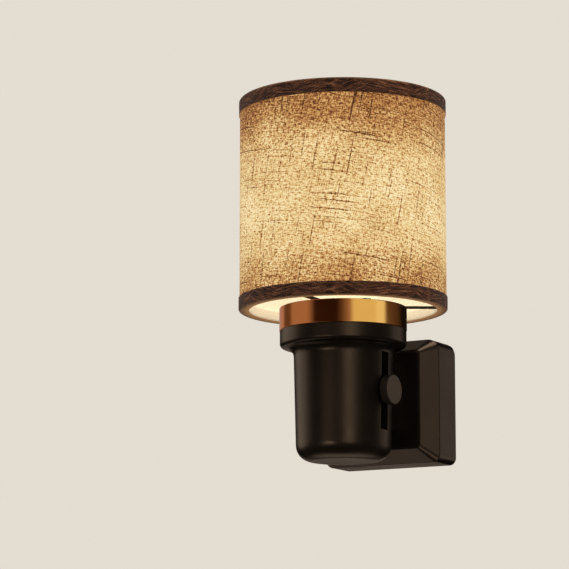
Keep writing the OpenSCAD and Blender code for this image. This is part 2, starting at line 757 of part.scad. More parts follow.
module shade_spider() color("#3a3330") difference() {
    union() {
        on_axis() translate([0, 0, spider_z]) cylinder(h = arm_t, r = spider_out_r);
        around_axis(arm_angles, 0) translate([spider_out_r - 1, -arm_w / 2, spider_z])
            cube([hoop_in_r - fit_gap - spider_out_r + 1, arm_w, arm_t]);
    }
    on_axis() cylinder(h = 200, r = spider_in_r, center = true);
    around_axis(screw_angles, shade_screw_r)
        translate([0, 0, spider_z - 1]) cylinder(h = 4, d = shade_screw_d + 0.3);
}

module shade_screws() color("#8f9296") around_axis(screw_angles, shade_screw_r)
    translate([0, 0, spider_z + arm_t + shade_head_t])
        screw_z(shade_screw_d, shade_screw_len, shade_head_d, shade_head_t);

module ring(low, high, outer, inner) {
    on_axis() translate([0, 0, low]) difference() {
        cylinder(h = high - low, r = outer);
        translate([0, 0, -1]) cylinder(h = high - low + 2, r = inner);
    }
}

module bottom_hoop() color("#f2ead8")
    ring(shade_low + hem_gap, shade_low + hem_gap + hoop_h, hoop_r, hoop_in_r);

module top_hoop() color("#f2ead8")
    ring(shade_top - hem_gap - hoop_h, shade_top - hem_gap, hoop_r, hoop_in_r);

module shade_liner() color("#f6efdc")
    ring(shade_low + hem_gap, shade_top - hem_gap, liner_r, liner_r - liner_t);

module shade_linen() color("#c9a35c")
    ring(shade_low + linen_gap, shade_top - linen_gap, shade_r, shade_r - linen_t);

// The hem tape's section: down the outside, round the lower corner and in under the hoop
module trim_section(height) {
    r = trim_edge_r;
    polygon(concat(
        arc(trim_r - r, r, r, 0, -90, 6),
        [[hoop_in_r, 0], [hoop_in_r, trim_t], [trim_r - r, trim_t]],
        arc(trim_r - r, r, r - trim_t, -90, 0, 6),
        [[trim_r - trim_t, height], [trim_r, height]]));
}

module bottom_trim() color("#4a2c20") on_axis() translate([0, 0, shade_low])
    rotate_extrude() trim_section(low_trim_h);

module top_trim() color("#4a2c20") on_axis() translate([0, 0, shade_top]) mirror([0, 0, 1])
    rotate_extrude() trim_section(top_trim_h);

rear_shell();
front_cover();
shell_screws();
blade_left();
blade_right();
driver_board();
filter_capacitor();
bridge_rectifier();
driver_chip();
filter_inductor();
fuse_resistor();
dc_lead_red();
dc_lead_black();
lamp_cup();
neck_screws();
dimmer_board();
dimmer_transistor();
dimmer_resistors();
slider_case();
slider_track();
slider_carriage();
dimmer_knob();
led_lead_red();
led_lead_black();
head_plate();
head_screws();
brass_collar();
led_board();
led_chips();
diffuser();
shade_spider();
shade_screws();
bottom_hoop();
top_hoop();
shade_liner();
shade_linen();
bottom_trim();
top_trim();
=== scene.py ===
import math

import bmesh
import bpy
from mathutils import Matrix, Vector, noise


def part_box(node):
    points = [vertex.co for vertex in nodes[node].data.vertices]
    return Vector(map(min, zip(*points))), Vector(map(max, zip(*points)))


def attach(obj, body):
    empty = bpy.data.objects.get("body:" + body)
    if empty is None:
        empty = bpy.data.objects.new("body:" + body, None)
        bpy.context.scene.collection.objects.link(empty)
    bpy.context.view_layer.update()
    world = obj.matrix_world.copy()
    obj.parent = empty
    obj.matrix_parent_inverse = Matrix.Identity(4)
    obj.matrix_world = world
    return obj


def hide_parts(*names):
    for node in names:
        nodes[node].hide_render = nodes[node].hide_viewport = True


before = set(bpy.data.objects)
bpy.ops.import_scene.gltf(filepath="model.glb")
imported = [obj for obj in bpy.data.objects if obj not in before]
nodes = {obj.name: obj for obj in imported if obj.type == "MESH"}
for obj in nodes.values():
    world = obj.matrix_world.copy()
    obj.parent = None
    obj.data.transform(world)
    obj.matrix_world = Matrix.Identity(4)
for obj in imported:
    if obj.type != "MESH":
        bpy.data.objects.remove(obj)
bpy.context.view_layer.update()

# Studio. A camera below the shade and to its right, a pale floor a metre down, a pale room all
# round, and soft lamps: a tall one on each side of the camera and a wide one overhead.
MM = 0.001
camera_data = bpy.data.cameras.new("camera")
camera_data.sensor_width = 36
camera_data.lens = 177.9
camera = bpy.data.objects.new("camera", camera_data)
camera.location = (0.4508, -0.8904, -0.1258)
camera.rotation_euler = (math.radians(99.97), 0, math.radians(29.21))
bpy.context.scene.collection.objects.link(camera)
bpy.context.scene.camera = camera
bpy.context.scene.view_settings.view_transform = "Standard"


def linear(code):
    """A colour written as sRGB hex, in the linear form that a socket takes."""
    parts = [int(code[i:i + 2], 16) / 255 for i in (1, 3, 5)]
    return (*(p / 12.92 if p <= 0.04045 else ((p + 0.055) / 1.055) ** 2.4 for p in parts), 1)


def add(tree, kind, inputs=None, stops=(), **settings):
    """Adds a node. An input takes a value, a socket or a node, whose first output is linked."""
    node = tree.nodes.new(kind)
    for name, value in settings.items():
        setattr(node, name, value)
    for name, value in (inputs or {}).items():
        if isinstance(value, bpy.types.Node):
            value = next(out for out in value.outputs if out.enabled)
        if isinstance(value, bpy.types.NodeSocket):
            tree.links.new(value, node.inputs[name])
        else:
            node.inputs[name].default_value = value
    for i, (place, colour) in enumerate(stops):
        if i >= len(node.color_ramp.elements):
            node.color_ramp.elements.new(1)
        node.color_ramp.elements[i].position = place
        node.color_ramp.elements[i].color = colour
    return node


def new_material(name):
    material = bpy.data.materials.new(name)
    material.use_nodes = True
    material.node_tree.nodes.clear()
    return material, material.node_tree


def seen_rays(tree):
    """1 for what the camera sees, plainly, in gloss or through a clear thing, and else 0."""
    rays = add(tree, "ShaderNodeLightPath")
    mirrored = add(tree, "ShaderNodeMath", {0: rays.outputs["Is Glossy Ray"],
        1: rays.outputs["Is Transmission Ray"]}, operation="MAXIMUM")
    return add(tree, "ShaderNodeMath", {0: rays.outputs["Is Camera Ray"], 1: mirrored},
        operation="MAXIMUM")


ROOM_PALE = "#e4ddd2"
ROOM_LIGHT = 0.5
world = bpy.data.worlds.new("room")
world.use_nodes = True
world.node_tree.nodes.clear()
tree = world.node_tree
lit = add(tree, "ShaderNodeBackground", {"Color": linear("#fff8ee"), "Strength": ROOM_LIGHT})
pale = add(tree, "ShaderNodeBackground", {"Color": linear(ROOM_PALE), "Strength": 1})
mixed = add(tree, "ShaderNodeMixShader", {0: seen_rays(tree), 1: lit, 2: pale})
add(tree, "ShaderNodeOutputWorld", {"Surface": mixed})
bpy.context.scene.world = world

# The floor, painted matt in a pale warm white. It keeps the object's shadow, and what is seen
# of it takes on some of the room's paleness too, so that it is pale from every side.
FLOOR_DOWN = 1.0
FLOOR_SIZE = 30
FLOOR_PALER = 0.48
bpy.ops.object.select_all(action="DESELECT")
bpy.ops.mesh.primitive_plane_add(size=FLOOR_SIZE, location=(0, 0, -FLOOR_DOWN))
floor = bpy.context.object
floor.name = "floor"
material, tree = new_material("painted_floor")
clouds = add(tree, "ShaderNodeTexNoise", {"Scale": 3})
tone = add(tree, "ShaderNodeMix", {0: clouds, 6: linear("#e2dbd0"), 7: linear("#e6dfd4")},
    data_type="RGBA")
shader = add(tree, "ShaderNodeBsdfPrincipled", {"Base Color": tone, "Roughness": 0.9})
paleness = add(tree, "ShaderNodeMath", {0: seen_rays(tree), 1: FLOOR_PALER},
    operation="MULTIPLY")
paler = add(tree, "ShaderNodeEmission", {"Color": linear(ROOM_PALE), "Strength": paleness})
both = add(tree, "ShaderNodeAddShader", {0: shader, 1: paler})
add(tree, "ShaderNodeOutputMaterial", {"Surface": both})
floor.data.materials.append(material)

# A round cloth screen of light and dark strips, which lights only the gloss of bare metal. Its
# strips, by their angle from the lamp's front towards +X, give the polished collar its bands.
SCREEN_R = 1.3
SCREEN_LOW = -0.9
SCREEN_HIGH = 1.6
SCREEN_LEVEL = 1.4
collar_low, collar_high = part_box("brass_collar")
AXIS_Y = (collar_low.y + collar_high.y) / 2
bpy.ops.mesh.primitive_cylinder_add(vertices=96, radius=SCREEN_R, depth=SCREEN_HIGH - SCREEN_LOW,
    location=(0, AXIS_Y, (SCREEN_HIGH + SCREEN_LOW) / 2))
screen = bpy.context.object
screen.name = "striped_screen"
material, tree = new_material("striped_cloth")
place = add(tree, "ShaderNodeTexCoord").outputs["Object"]
axes = add(tree, "ShaderNodeSeparateXYZ", {0: place})
front = add(tree, "ShaderNodeMath", {0: axes.outputs["Y"], 1: -1}, operation="MULTIPLY")
turn = add(tree, "ShaderNodeMath", {0: axes.outputs["X"], 1: front}, operation="ARCTAN2")
strip = add(tree, "ShaderNodeMapRange", {"Value": turn, "From Min": -math.pi, "From Max": math.pi})
STRIPS = [(-180, "#120e0b"), (-148, "#28231d"), (-139, "#9d847c"), (-108, "#9a8078"),
    (-102, "#5c4a40"), (-84, "#54433a"), (-75, "#957f7a"), (-38, "#957f7a"), (-24, "#2a1c18"),
    (17, "#241611"), (26, "#51423b"), (40, "#8e7b74"), (47, "#cddcbe"), (88, "#cddcbe"),
    (92, "#d8f2e2"), (106, "#d8f2e2"), (113, "#5a4e44"), (144, "#40362d"), (160, "#120e0b")]
tone = add(tree, "ShaderNodeValToRGB", {0: strip},
    stops=[((angle + 180) / 360, linear(colour)) for angle, colour in STRIPS])
shader = add(tree, "ShaderNodeEmission", {"Color": tone, "Strength": SCREEN_LEVEL})
add(tree, "ShaderNodeOutputMaterial", {"Surface": shader})
screen.data.materials.append(material)
screen.visible_camera = False
screen.visible_diffuse = False
screen.visible_shadow = False
screen.visible_transmission = False


def softbox(name, turn, rise, distance, width, height, power):
    """A rectangular lamp that faces the collar, turned from the lamp's front towards +X."""
    a, e = math.radians(turn), math.radians(rise)
    out = Vector((math.sin(a) * math.cos(e), -math.cos(a) * math.cos(e), math.sin(e)))
    data = bpy.data.lights.new(name, "AREA")
    data.shape = "RECTANGLE"
    data.size, data.size_y, data.energy = width, height, power
    lamp = bpy.data.objects.new(name, data)
    lamp.location = Vector((0, AXIS_Y, collar_low.z)) + out * distance
    lamp.rotation_euler = (-out).to_track_quat("-Z", "Y").to_euler()
    lamp.visible_camera = False
    lamp.visible_glossy = False
    bpy.context.scene.collection.objects.link(lamp)
    return lamp


softbox("softbox_right", 78, 12, 1.2, 0.6, 1.0, 2.2)
softbox("softbox_left", -47, 12, 1.2, 0.6, 1.0, 1.2)
softbox("softbox_top", 0, 75, 1.5, 1.2, 1.2, 3)

# Rear shell of the plug housing. Injection-moulded ABS in satin black, a box that is open
# towards the cover, with wells for its four screws and slots that the two blades stand in.
shell_low, shell_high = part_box("rear_shell")
cover_low, cover_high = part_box("front_cover")
screw_low, screw_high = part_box("shell_screws")
TOP_CORNER = 4.5 * MM
LOW_CORNER = 2.5 * MM
SHELL_WALL = 1.8 * MM
BACK_WALL = 2.2 * MM
SOFT_EDGE = 0.5 * MM
SEAM_EDGE = 0.12 * MM
SCREW_HEAD_R = 2.3 * MM
WELL_R = 2.5 * MM
WELL_DEPTH = 1.2 * MM
SCREW_HOLE_R = 1.45 * MM
HOLE_DEPTH = 3 * MM
BLADE_HALF = 3.175 * MM
FIT = 0.05 * MM


def begin(name):
    """Names the primitive that was just added, puts its place in its mesh and opens it."""
    piece = bpy.context.object
    piece.name = piece.data.name = name
    bpy.ops.object.transform_apply(location=True, rotation=True, scale=True)
    bpy.ops.object.mode_set(mode="EDIT")
    return piece


def pick(piece, kind, test):
    """Selects the verts, edges or faces whose middle passes the test."""
    bpy.ops.mesh.select_mode(type={"verts": "VERT", "edges": "EDGE", "faces": "FACE"}[kind])
    bpy.ops.mesh.select_all(action="DESELECT")
    mesh = bmesh.from_edit_mesh(piece.data)
    for part in getattr(mesh, kind):
        ends = [part] if kind == "verts" else part.verts
        part.select_set(test(sum((v.co for v in ends), Vector()) / len(ends)))
    mesh.select_flush_mode()
    bmesh.update_edit_mesh(piece.data)


def near(a, b):
    return abs(a - b) < 0.02 * MM


def bevel(width, steps, kind="EDGES"):
    bpy.ops.mesh.bevel(offset=width, segments=steps, affect=kind, profile=0.5)


def push(move=(0, 0, 0)):
    bpy.ops.mesh.extrude_region_move(TRANSFORM_OT_translate={"value": move})


def rounded_plate(name, low, high, y, top_r, low_r, steps=8):
    """A plate in X and Z that faces -Y, with its upper and its lower corners rounded."""
    middle = (low + high) / 2
    bpy.ops.object.select_all(action="DESELECT")
    bpy.ops.mesh.primitive_plane_add(size=1, location=(middle.x, y, middle.z),
        rotation=(math.radians(90), 0, 0))
    bpy.context.object.scale = (high.x - low.x, high.z - low.z, 1)
    piece = begin(name)
    pick(piece, "verts", lambda p: p.z > middle.z)
    bevel(top_r, steps, "VERTICES")
    pick(piece, "verts", lambda p: near(p.z, low.z))
    bevel(low_r, steps, "VERTICES")
    return piece


def finish_mesh(piece, angle=35):
    """Merges doubles, turns the faces outwards, leaves edit mode and smooths the shading."""
    bpy.ops.mesh.select_all(action="SELECT")
    bpy.ops.mesh.remove_doubles(threshold=0.002 * MM)
    bpy.ops.mesh.normals_make_consistent(inside=False)
    bpy.ops.object.mode_set(mode="OBJECT")
    bpy.ops.object.shade_smooth_by_angle(angle=math.radians(angle))


def use_modifier(piece, kind, **settings):
    modifier = piece.modifiers.new(kind.lower(), kind)
    for name, value in settings.items():
        setattr(modifier, name, value)
    bpy.context.view_layer.objects.active = piece
    bpy.ops.object.modifier_apply(modifier=modifier.name)


def combine(piece, tools, operation="DIFFERENCE"):
    """Cuts tools, each a closed mesh, out of a piece or joins them to it, and removes them."""
    for tool in tools:
        use_modifier(piece, "BOOLEAN", object=tool, operation=operation, solver="EXACT")
        bpy.data.objects.remove(tool)


def rod(x, z, from_y, to_y, radius):
    """A round tool along Y."""
    bpy.ops.object.select_all(action="DESELECT")
    bpy.ops.mesh.primitive_cylinder_add(vertices=48, radius=radius, depth=abs(to_y - from_y),
        location=(x, (from_y + to_y) / 2, z), rotation=(math.radians(90), 0, 0))
    bpy.ops.object.transform_apply(location=True, rotation=True, scale=True)
    return bpy.context.object


def brick(low, high):
    """A square-edged block between two corners."""
    low, high = Vector(low), Vector(high)
    bpy.ops.object.select_all(action="DESELECT")
    bpy.ops.mesh.primitive_cube_add(size=1, location=(low + high) / 2)
    bpy.context.object.scale = high - low
    bpy.ops.object.transform_apply(location=True, rotation=True, scale=True)
    return bpy.context.object


def on_outline(p, y, low, high):
    """True for a point at depth y on the housing's outline."""
    inside = low.x + MM < p.x < high.x - MM and low.z + MM < p.z < high.z - MM
    return near(p.y, y) and not inside


rear = rounded_plate("housing_rear", shell_low, shell_high, 0, TOP_CORNER, LOW_CORNER)
pick(rear, "faces", lambda p: True)
push((0, shell_low.y, 0))
bpy.ops.mesh.inset(thickness=SHELL_WALL)
push((0, -shell_low.y - BACK_WALL, 0))
pick(rear, "edges", lambda p: on_outline(p, 0, shell_low, shell_high))
bevel(SOFT_EDGE, 3)
pick(rear, "edges", lambda p: on_outline(p, shell_low.y, shell_low, shell_high))
bevel(SEAM_EDGE, 2)
finish_mesh(rear)
tools = []
for x in (screw_low.x + SCREW_HEAD_R, screw_high.x - SCREW_HEAD_R):
    for z in (screw_low.z + SCREW_HEAD_R, screw_high.z - SCREW_HEAD_R):
        tools.append(rod(x, z, MM, -WELL_DEPTH, WELL_R))
        tools.append(rod(x, z, MM, -HOLE_DEPTH, SCREW_HOLE_R))
for name in ("blade_left", "blade_right"):
    low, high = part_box(name)
    tools.append(brick((low.x - FIT, -HOLE_DEPTH, -BLADE_HALF - FIT),
        (high.x + FIT, MM, BLADE_HALF + FIT)))
combine(rear, tools)
use_modifier(rear, "WEIGHTED_NORMAL", keep_sharp=True)

# Satin black ABS: near black and a little warm, with a fine spark-eroded grain that spreads
# its highlights and edges that handling has polished. The grain is drawn at a third of a
# millimetre, coarser than the real one, so that it still shows.
GRAIN_MM = 0.33
CLOUD_MM = 14


def rubbed_edge(tree, edge_mm, sharp):
    """0 on a flat face, rising to 1 at an edge, where a rounded normal leaves the real one."""
    round_normal = add(tree, "ShaderNodeBevel", {"Radius": edge_mm * MM}, samples=4)
    flat_normal = add(tree, "ShaderNodeNewGeometry").outputs["Normal"]
    turned = add(tree, "ShaderNodeVectorMath", {0: round_normal, 1: flat_normal},
        operation="DOT_PRODUCT").outputs["Value"]
    return add(tree, "ShaderNodeMapRange", {"Value": turned, "From Min": 1, "From Max": sharp})


def moulded(name, dark, light, rough, grain=GRAIN_MM, edge_mm=0.5, depth_mm=0.012):
    """Moulded plastic: two tones in faint clouds, a fine grain, and smoother, paler edges."""
    material, tree = new_material(name)
    place = add(tree, "ShaderNodeTexCoord").outputs["Object"]
    fine = add(tree, "ShaderNodeTexNoise", {"Vector": place, "Scale": 1 / (grain * MM),
        "Detail": 2, "Roughness": 0.6})
    clouds = add(tree, "ShaderNodeTexNoise", {"Vector": place, "Scale": 1 / (CLOUD_MM * MM),
        "Detail": 3})
    edge = rubbed_edge(tree, edge_mm, 0.9)
    worn = add(tree, "ShaderNodeMath", {0: edge, 1: clouds}, operation="MULTIPLY")
    tone = add(tree, "ShaderNodeMath", {0: clouds, 1: worn}, operation="ADD", use_clamp=True)
    colour = add(tree, "ShaderNodeMix", {0: tone, 6: linear(dark), 7: linear(light)},
        data_type="RGBA")
    gloss = add(tree, "ShaderNodeMapRange", {"Value": clouds, "From Min": 0.3, "From Max": 0.7,
        "To Min": rough - 0.03, "To Max": rough + 0.03})
    polished = add(tree, "ShaderNodeMath", {0: worn, 1: -0.12, 2: gloss},
        operation="MULTIPLY_ADD")
    bump = add(tree, "ShaderNodeBump", {"Height": fine, "Strength": 0.5,
        "Distance": depth_mm * MM})
    shader = add(tree, "ShaderNodeBsdfPrincipled", {"Base Color": colour, "Roughness": polished,
        "IOR": 1.46, "Specular Tint": (1, 0.82, 0.66, 1), "Normal": bump})
    add(tree, "ShaderNodeOutputMaterial", {"Surface": shader})
    return material


def paint(piece, material):
    piece.data.materials.clear()
    piece.data.materials.append(material)


def place_piece(piece, body, slot, *node_names):
    """Puts a new piece on the body it rides on and hides the parts that it stands for. The slot,
    its finish in the record, is not used.
    """
    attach(piece, body)
    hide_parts(*node_names)


housing_abs = moulded("satin_black_abs", "#120e0c", "#1a1512", 0.36)
paint(rear, housing_abs)
place_piece(rear, "lamp", "housing_plastic", "rear_shell")

# Front cover of the housing. The same satin black ABS, with a wide bevel on all four sides, a
# small round on its front edge, and a lip behind the seam that tucks into the rear shell.
SEAM_GAP = 0.25 * MM
BEVEL_IN = 4.6 * MM
FACE_CORNER = 1.5 * MM
FACE_EDGE = 0.8 * MM
LIP_BACK = 1.5 * MM
LIP_T = 1.2 * MM
seam_y = shell_low.y - SEAM_GAP
face_in = Vector((BEVEL_IN, 0, BEVEL_IN))
cover_middle = Vector((0, seam_y, (cover_low.z + cover_high.z) / 2))
cover_size = cover_high - cover_low


def step_in(margin, y):
    """Extrudes the selected outline to a ring that is set in by a margin, at depth y."""
    push()
    ring = [v.co for v in bmesh.from_edit_mesh(cover.data).verts if v.select]
    width = max(p.x for p in ring) - min(p.x for p in ring)
    height = max(p.z for p in ring) - min(p.z for p in ring)
    bpy.ops.transform.resize(value=((cover_size.x - 2 * margin) / width, 1,
        (cover_size.z - 2 * margin) / height), center_override=cover_middle)
    bpy.ops.transform.translate(value=(0, y - ring[0].y, 0))


face = rounded_plate("face", cover_low + face_in, cover_high - face_in, cover_low.y,
    FACE_CORNER, FACE_CORNER)
bpy.ops.object.mode_set(mode="OBJECT")
cover = rounded_plate("housing_cover", cover_low, cover_high, seam_y, TOP_CORNER, LOW_CORNER)
pick(cover, "faces", lambda p: True)
bpy.ops.mesh.delete(type="ONLY_FACE")
bpy.ops.object.mode_set(mode="OBJECT")
face.select_set(True)
bpy.ops.object.join()
bpy.ops.object.mode_set(mode="EDIT")
pick(cover, "edges", lambda p: True)
bpy.ops.mesh.bridge_edge_loops()
pick(cover, "edges", lambda p: near(p.y, cover_low.y))
bevel(FACE_EDGE, 5)
pick(cover, "edges", lambda p: near(p.y, seam_y))
step_in(SHELL_WALL + FIT, seam_y)
step_in(SHELL_WALL + FIT, shell_low.y + LIP_BACK)
step_in(SHELL_WALL + FIT + LIP_T, shell_low.y + LIP_BACK)
step_in(SHELL_WALL + FIT + LIP_T, seam_y - MM)
step_in(BEVEL_IN + SHELL_WALL, cover_low.y + SHELL_WALL)
bpy.ops.mesh.edge_face_add()
pick(cover, "edges", lambda p: on_outline(p, seam_y, cover_low, cover_high))
bevel(SEAM_EDGE, 2)
finish_mesh(cover)
use_modifier(cover, "WEIGHTED_NORMAL", keep_sharp=True)
paint(cover, housing_abs)
place_piece(cover, "lamp", "housing_plastic", "front_cover")

# The four screws that join the halves from the back. Zinc-plated steel with a faint blue and
# yellow cast from the plating, fine turning marks, and bright rims where a driver has rubbed.


def plated(name, dark, light, rough, mark_mm=0.25, edge_mm=0.2):
    """Plated or bare metal with turning marks, clouds in its plating and brighter edges."""
    material, tree = new_material(name)
    place = add(tree, "ShaderNodeTexCoord").outputs["Object"]
    marks = add(tree, "ShaderNodeTexNoise", {"Vector": place, "Scale": 1 / (mark_mm * MM),
        "Detail": 3})
    clouds = add(tree, "ShaderNodeTexNoise", {"Vector": place, "Scale": 1 / (3 * MM)})
    edge = rubbed_edge(tree, edge_mm, 0.85)
    tone = add(tree, "ShaderNodeMath", {0: clouds, 1: edge}, operation="ADD", use_clamp=True)
    colour = add(tree, "ShaderNodeMix", {0: tone, 6: linear(dark), 7: linear(light)},
        data_type="RGBA")
    gloss = add(tree, "ShaderNodeMapRange", {"Value": marks, "From Min": 0.3, "From Max": 0.7,
        "To Min": rough - 0.06, "To Max": rough + 0.06})
    bump = add(tree, "ShaderNodeBump", {"Height": marks, "Strength": 0.3, "Distance": 0.01 * MM})
    shader = add(tree, "ShaderNodeBsdfPrincipled", {"Base Color": colour, "Metallic": 1,
        "Roughness": gloss, "Normal": bump})
    add(tree, "ShaderNodeOutputMaterial", {"Surface": shader})
    return material


zinc_plate = plated("zinc_plated_steel", "#8d9196", "#c4c6c2", 0.34)
paint(nodes["shell_screws"], zinc_plate)

# The two flat blades. Stamped brass strip with rolled edges, a bevelled tip and one hole
# each, tinned thinly, so that they are a pale yellow with drawing lines along their length.
BLADE_TIP = 1.3 * MM
BLADE_EDGE = 0.2 * MM
BLADE_HOLE_Y = 11.9 * MM
BLADE_HOLE_R = 2 * MM
blade_brass = plated("stamped_brass", "#b89a5c", "#dccb94", 0.28, mark_mm=0.4)
for side in ("left", "right"):
    low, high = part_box("blade_" + side)
    brick((low.x, low.y, -BLADE_HALF), (high.x, high.y, BLADE_HALF))
    blade = begin("plug_blade_" + side)
    pick(blade, "edges", lambda p: near(p.y, high.y) and not near(p.z, 0))
    bevel(BLADE_TIP, 1)
    pick(blade, "edges", lambda p: True)
    bevel(BLADE_EDGE, 3)
    finish_mesh(blade)
    bpy.ops.object.select_all(action="DESELECT")
    bpy.ops.mesh.primitive_cylinder_add(vertices=48, radius=BLADE_HOLE_R, depth=4 * MM,
        location=((low.x + high.x) / 2, BLADE_HOLE_Y, 0), rotation=(0, math.radians(90), 0))
    combine(blade, [bpy.context.object])
    paint(blade, blade_brass)
    place_piece(blade, "lamp", "blade_metal", "blade_" + side)

# The driver board and its parts. Green glass-epoxy laminate with copper tracks under solder
# mask, black epoxy packages, a sleeved electrolytic can, a ferrite coil and a lacquered resistor.
TRACK_MM = 1.6
WEAVE_MM = 0.5
laminate, tree = new_material("glass_epoxy_laminate")
place = add(tree, "ShaderNodeTexCoord").outputs["Object"]
tracks = add(tree, "ShaderNodeTexVoronoi", {"Vector": place, "Scale": 1 / (TRACK_MM * MM)},
    distance="MANHATTAN", feature="F1")
raised = add(tree, "ShaderNodeMapRange", {"Value": tracks, "From Min": 0.42, "From Max": 0.5})
cloth = add(tree, "ShaderNodeTexNoise", {"Vector": place, "Scale": 1 / (WEAVE_MM * MM)})
green = add(tree, "ShaderNodeMix", {0: cloth, 6: linear("#2c5a38"), 7: linear("#356943")},
    data_type="RGBA")
colour = add(tree, "ShaderNodeMix", {0: raised, 6: green, 7: linear("#4a8252")},
    data_type="RGBA")
gloss = add(tree, "ShaderNodeMapRange", {"Value": cloth, "To Min": 0.28, "To Max": 0.42})
bump = add(tree, "ShaderNodeBump", {"Height": raised, "Strength": 0.4, "Distance": 0.03 * MM})
shader = add(tree, "ShaderNodeBsdfPrincipled", {"Base Color": colour, "Roughness": gloss,
    "IOR": 1.52, "Normal": bump})
add(tree, "ShaderNodeOutputMaterial", {"Surface": shader})
paint(nodes["driver_board"], laminate)
paint(nodes["filter_capacitor"], moulded("pvc_sleeve", "#1b2230", "#2b3448", 0.3, grain=0.8))
package_resin = moulded("black_epoxy", "#131416", "#1f2023", 0.55, grain=0.25)
paint(nodes["bridge_rectifier"], package_resin)
paint(nodes["driver_chip"], package_resin)
paint(nodes["filter_inductor"], moulded("sintered_ferrite", "#2c2826", "#403b38", 0.62))
paint(nodes["fuse_resistor"], moulded("resistor_lacquer", "#45705a", "#5b8a68", 0.4))

# The two leads from the driver board through the neck to the dimmer board. Stranded copper in
# soft PVC, extruded smooth and slightly dusty, one red and one black.
red_pvc = moulded("red_soft_pvc", "#94201a", "#b32c22", 0.42, grain=0.6)
black_pvc = moulded("black_soft_pvc", "#121212", "#1e1d1c", 0.42, grain=0.6)
paint(nodes["dc_lead_red"], red_pvc)
paint(nodes["dc_lead_black"], black_pvc)

# The lamp cup. Satin black ABS, moulded in one with the neck that joins it to the housing: a
# slightly tapered cup with a large round at its foot, a cove under a thick flange, and the
# slot in its side that the dimmer's stem slides in.
cup_low, cup_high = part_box("lamp_cup")
FLANGE_R = cup_high.x
CUP_TOP_R = 17.1 * MM
CUP_LOW_R = 16.4 * MM
CUP_WALL = 2 * MM
FOOT_R = 5.6 * MM
FLANGE_T = 5.8 * MM
FLANGE_EDGE = 1.3 * MM
COVE_R = 3.3 * MM
RIM_R = 0.3 * MM
NECK_HALF = 9.5 * MM
NECK_LOW = -6.7 * MM
NECK_EDGE = 1.5 * MM
NECK_IN = 3 * MM
SLOT_HALF = 2.2 * MM
SLOT_LOW = -8.75 * MM
SLOT_HIGH = 18 * MM
SLOT_CUT_FROM = 10 * MM
SLOT_CUT_TO = 30 * MM
SLOT_TURN = math.radians(4)
CUP_SIDES = 192
CUP_SMOOTH = 25
flange_low = cup_high.z - FLANGE_T


def arc(r, z, radius, start, end, steps=8):
    """Points (radius, height) of an arc about (r, z), from one angle to another in degrees."""
    angles = [math.radians(start + (end - start) * i / steps) for i in range(steps + 1)]
    return [(r + radius * math.cos(a), z + radius * math.sin(a)) for a in angles]


def lathe(name, outline, sides):
    """Turns an outline of (radius, height) points about the lamp's axis, ring by ring."""
    radius, height = outline[0]
    bpy.ops.object.select_all(action="DESELECT")
    bpy.ops.mesh.primitive_circle_add(vertices=sides, radius=radius, location=(0, AXIS_Y, height))
    piece = begin(name)
    for r, z in outline[1:]:
        push((0, 0, z - height))
        bpy.ops.transform.resize(value=(r / radius, r / radius, 1),
            center_override=(0, AXIS_Y, z))
        radius, height = r, z
    return piece


def cap(piece, height):
    """Closes the open ring at a height with one flat face."""
    pick(piece, "edges", lambda p: near(p.z, height))
    bpy.ops.mesh.edge_face_add()


def turn_to_slot(piece):
    """Turns a mesh that was made at the lamp's side to the slot, a little towards the front."""
    axis = Matrix.Translation((0, AXIS_Y, 0))
    piece.data.transform(axis @ Matrix.Rotation(-SLOT_TURN, 4, "Z") @ axis.inverted())


cup_outline = (arc(CUP_LOW_R - FOOT_R, cup_low.z + FOOT_R, FOOT_R, -90, 0, 14)
    + arc(CUP_TOP_R + COVE_R, flange_low - COVE_R, COVE_R, 180, 90, 12)
    + arc(FLANGE_R - FLANGE_EDGE, flange_low + FLANGE_EDGE, FLANGE_EDGE, -90, 0)
    + arc(FLANGE_R - RIM_R, cup_high.z - RIM_R, RIM_R, 0, 90, 4))
cup = lathe("lamp_cup_body", cup_outline, CUP_SIDES)
cap(cup, cup_low.z)
cap(cup, cup_high.z)
finish_mesh(cup, CUP_SMOOTH)
brick((-NECK_HALF, AXIS_Y + CUP_LOW_R - NECK_IN, NECK_LOW),
    (NECK_HALF, cup_high.y, flange_low + MM))
neck = begin("neck")
pick(neck, "edges", lambda p: near(p.z, NECK_LOW) and not near(p.x, 0))
bevel(NECK_EDGE, 6)
bpy.ops.object.mode_set(mode="OBJECT")
combine(cup, [neck], "UNION")
hollow_outline = (arc(CUP_LOW_R - FOOT_R, cup_low.z + FOOT_R, FOOT_R - CUP_WALL, -90, 0, 6)
    + [(CUP_TOP_R - CUP_WALL, flange_low - COVE_R), (CUP_TOP_R - CUP_WALL, cup_high.z + MM)])
hollow = lathe("hollow", hollow_outline, CUP_SIDES)
cap(hollow, cup_low.z + CUP_WALL)
cap(hollow, cup_high.z + MM)
finish_mesh(hollow)
slot_tool = brick((SLOT_CUT_FROM, AXIS_Y - SLOT_HALF, SLOT_LOW),
    (SLOT_CUT_TO, AXIS_Y + SLOT_HALF, SLOT_HIGH))
turn_to_slot(slot_tool)
combine(cup, [hollow, slot_tool])
bpy.ops.object.select_all(action="DESELECT")
cup.select_set(True)
bpy.ops.object.shade_smooth_by_angle(angle=math.radians(CUP_SMOOTH))
use_modifier(cup, "WEIGHTED_NORMAL", keep_sharp=True)
paint(cup, housing_abs)
place_piece(cup, "lamp", "cup_plastic", "lamp_cup")
paint(nodes["neck_screws"], zinc_plate)

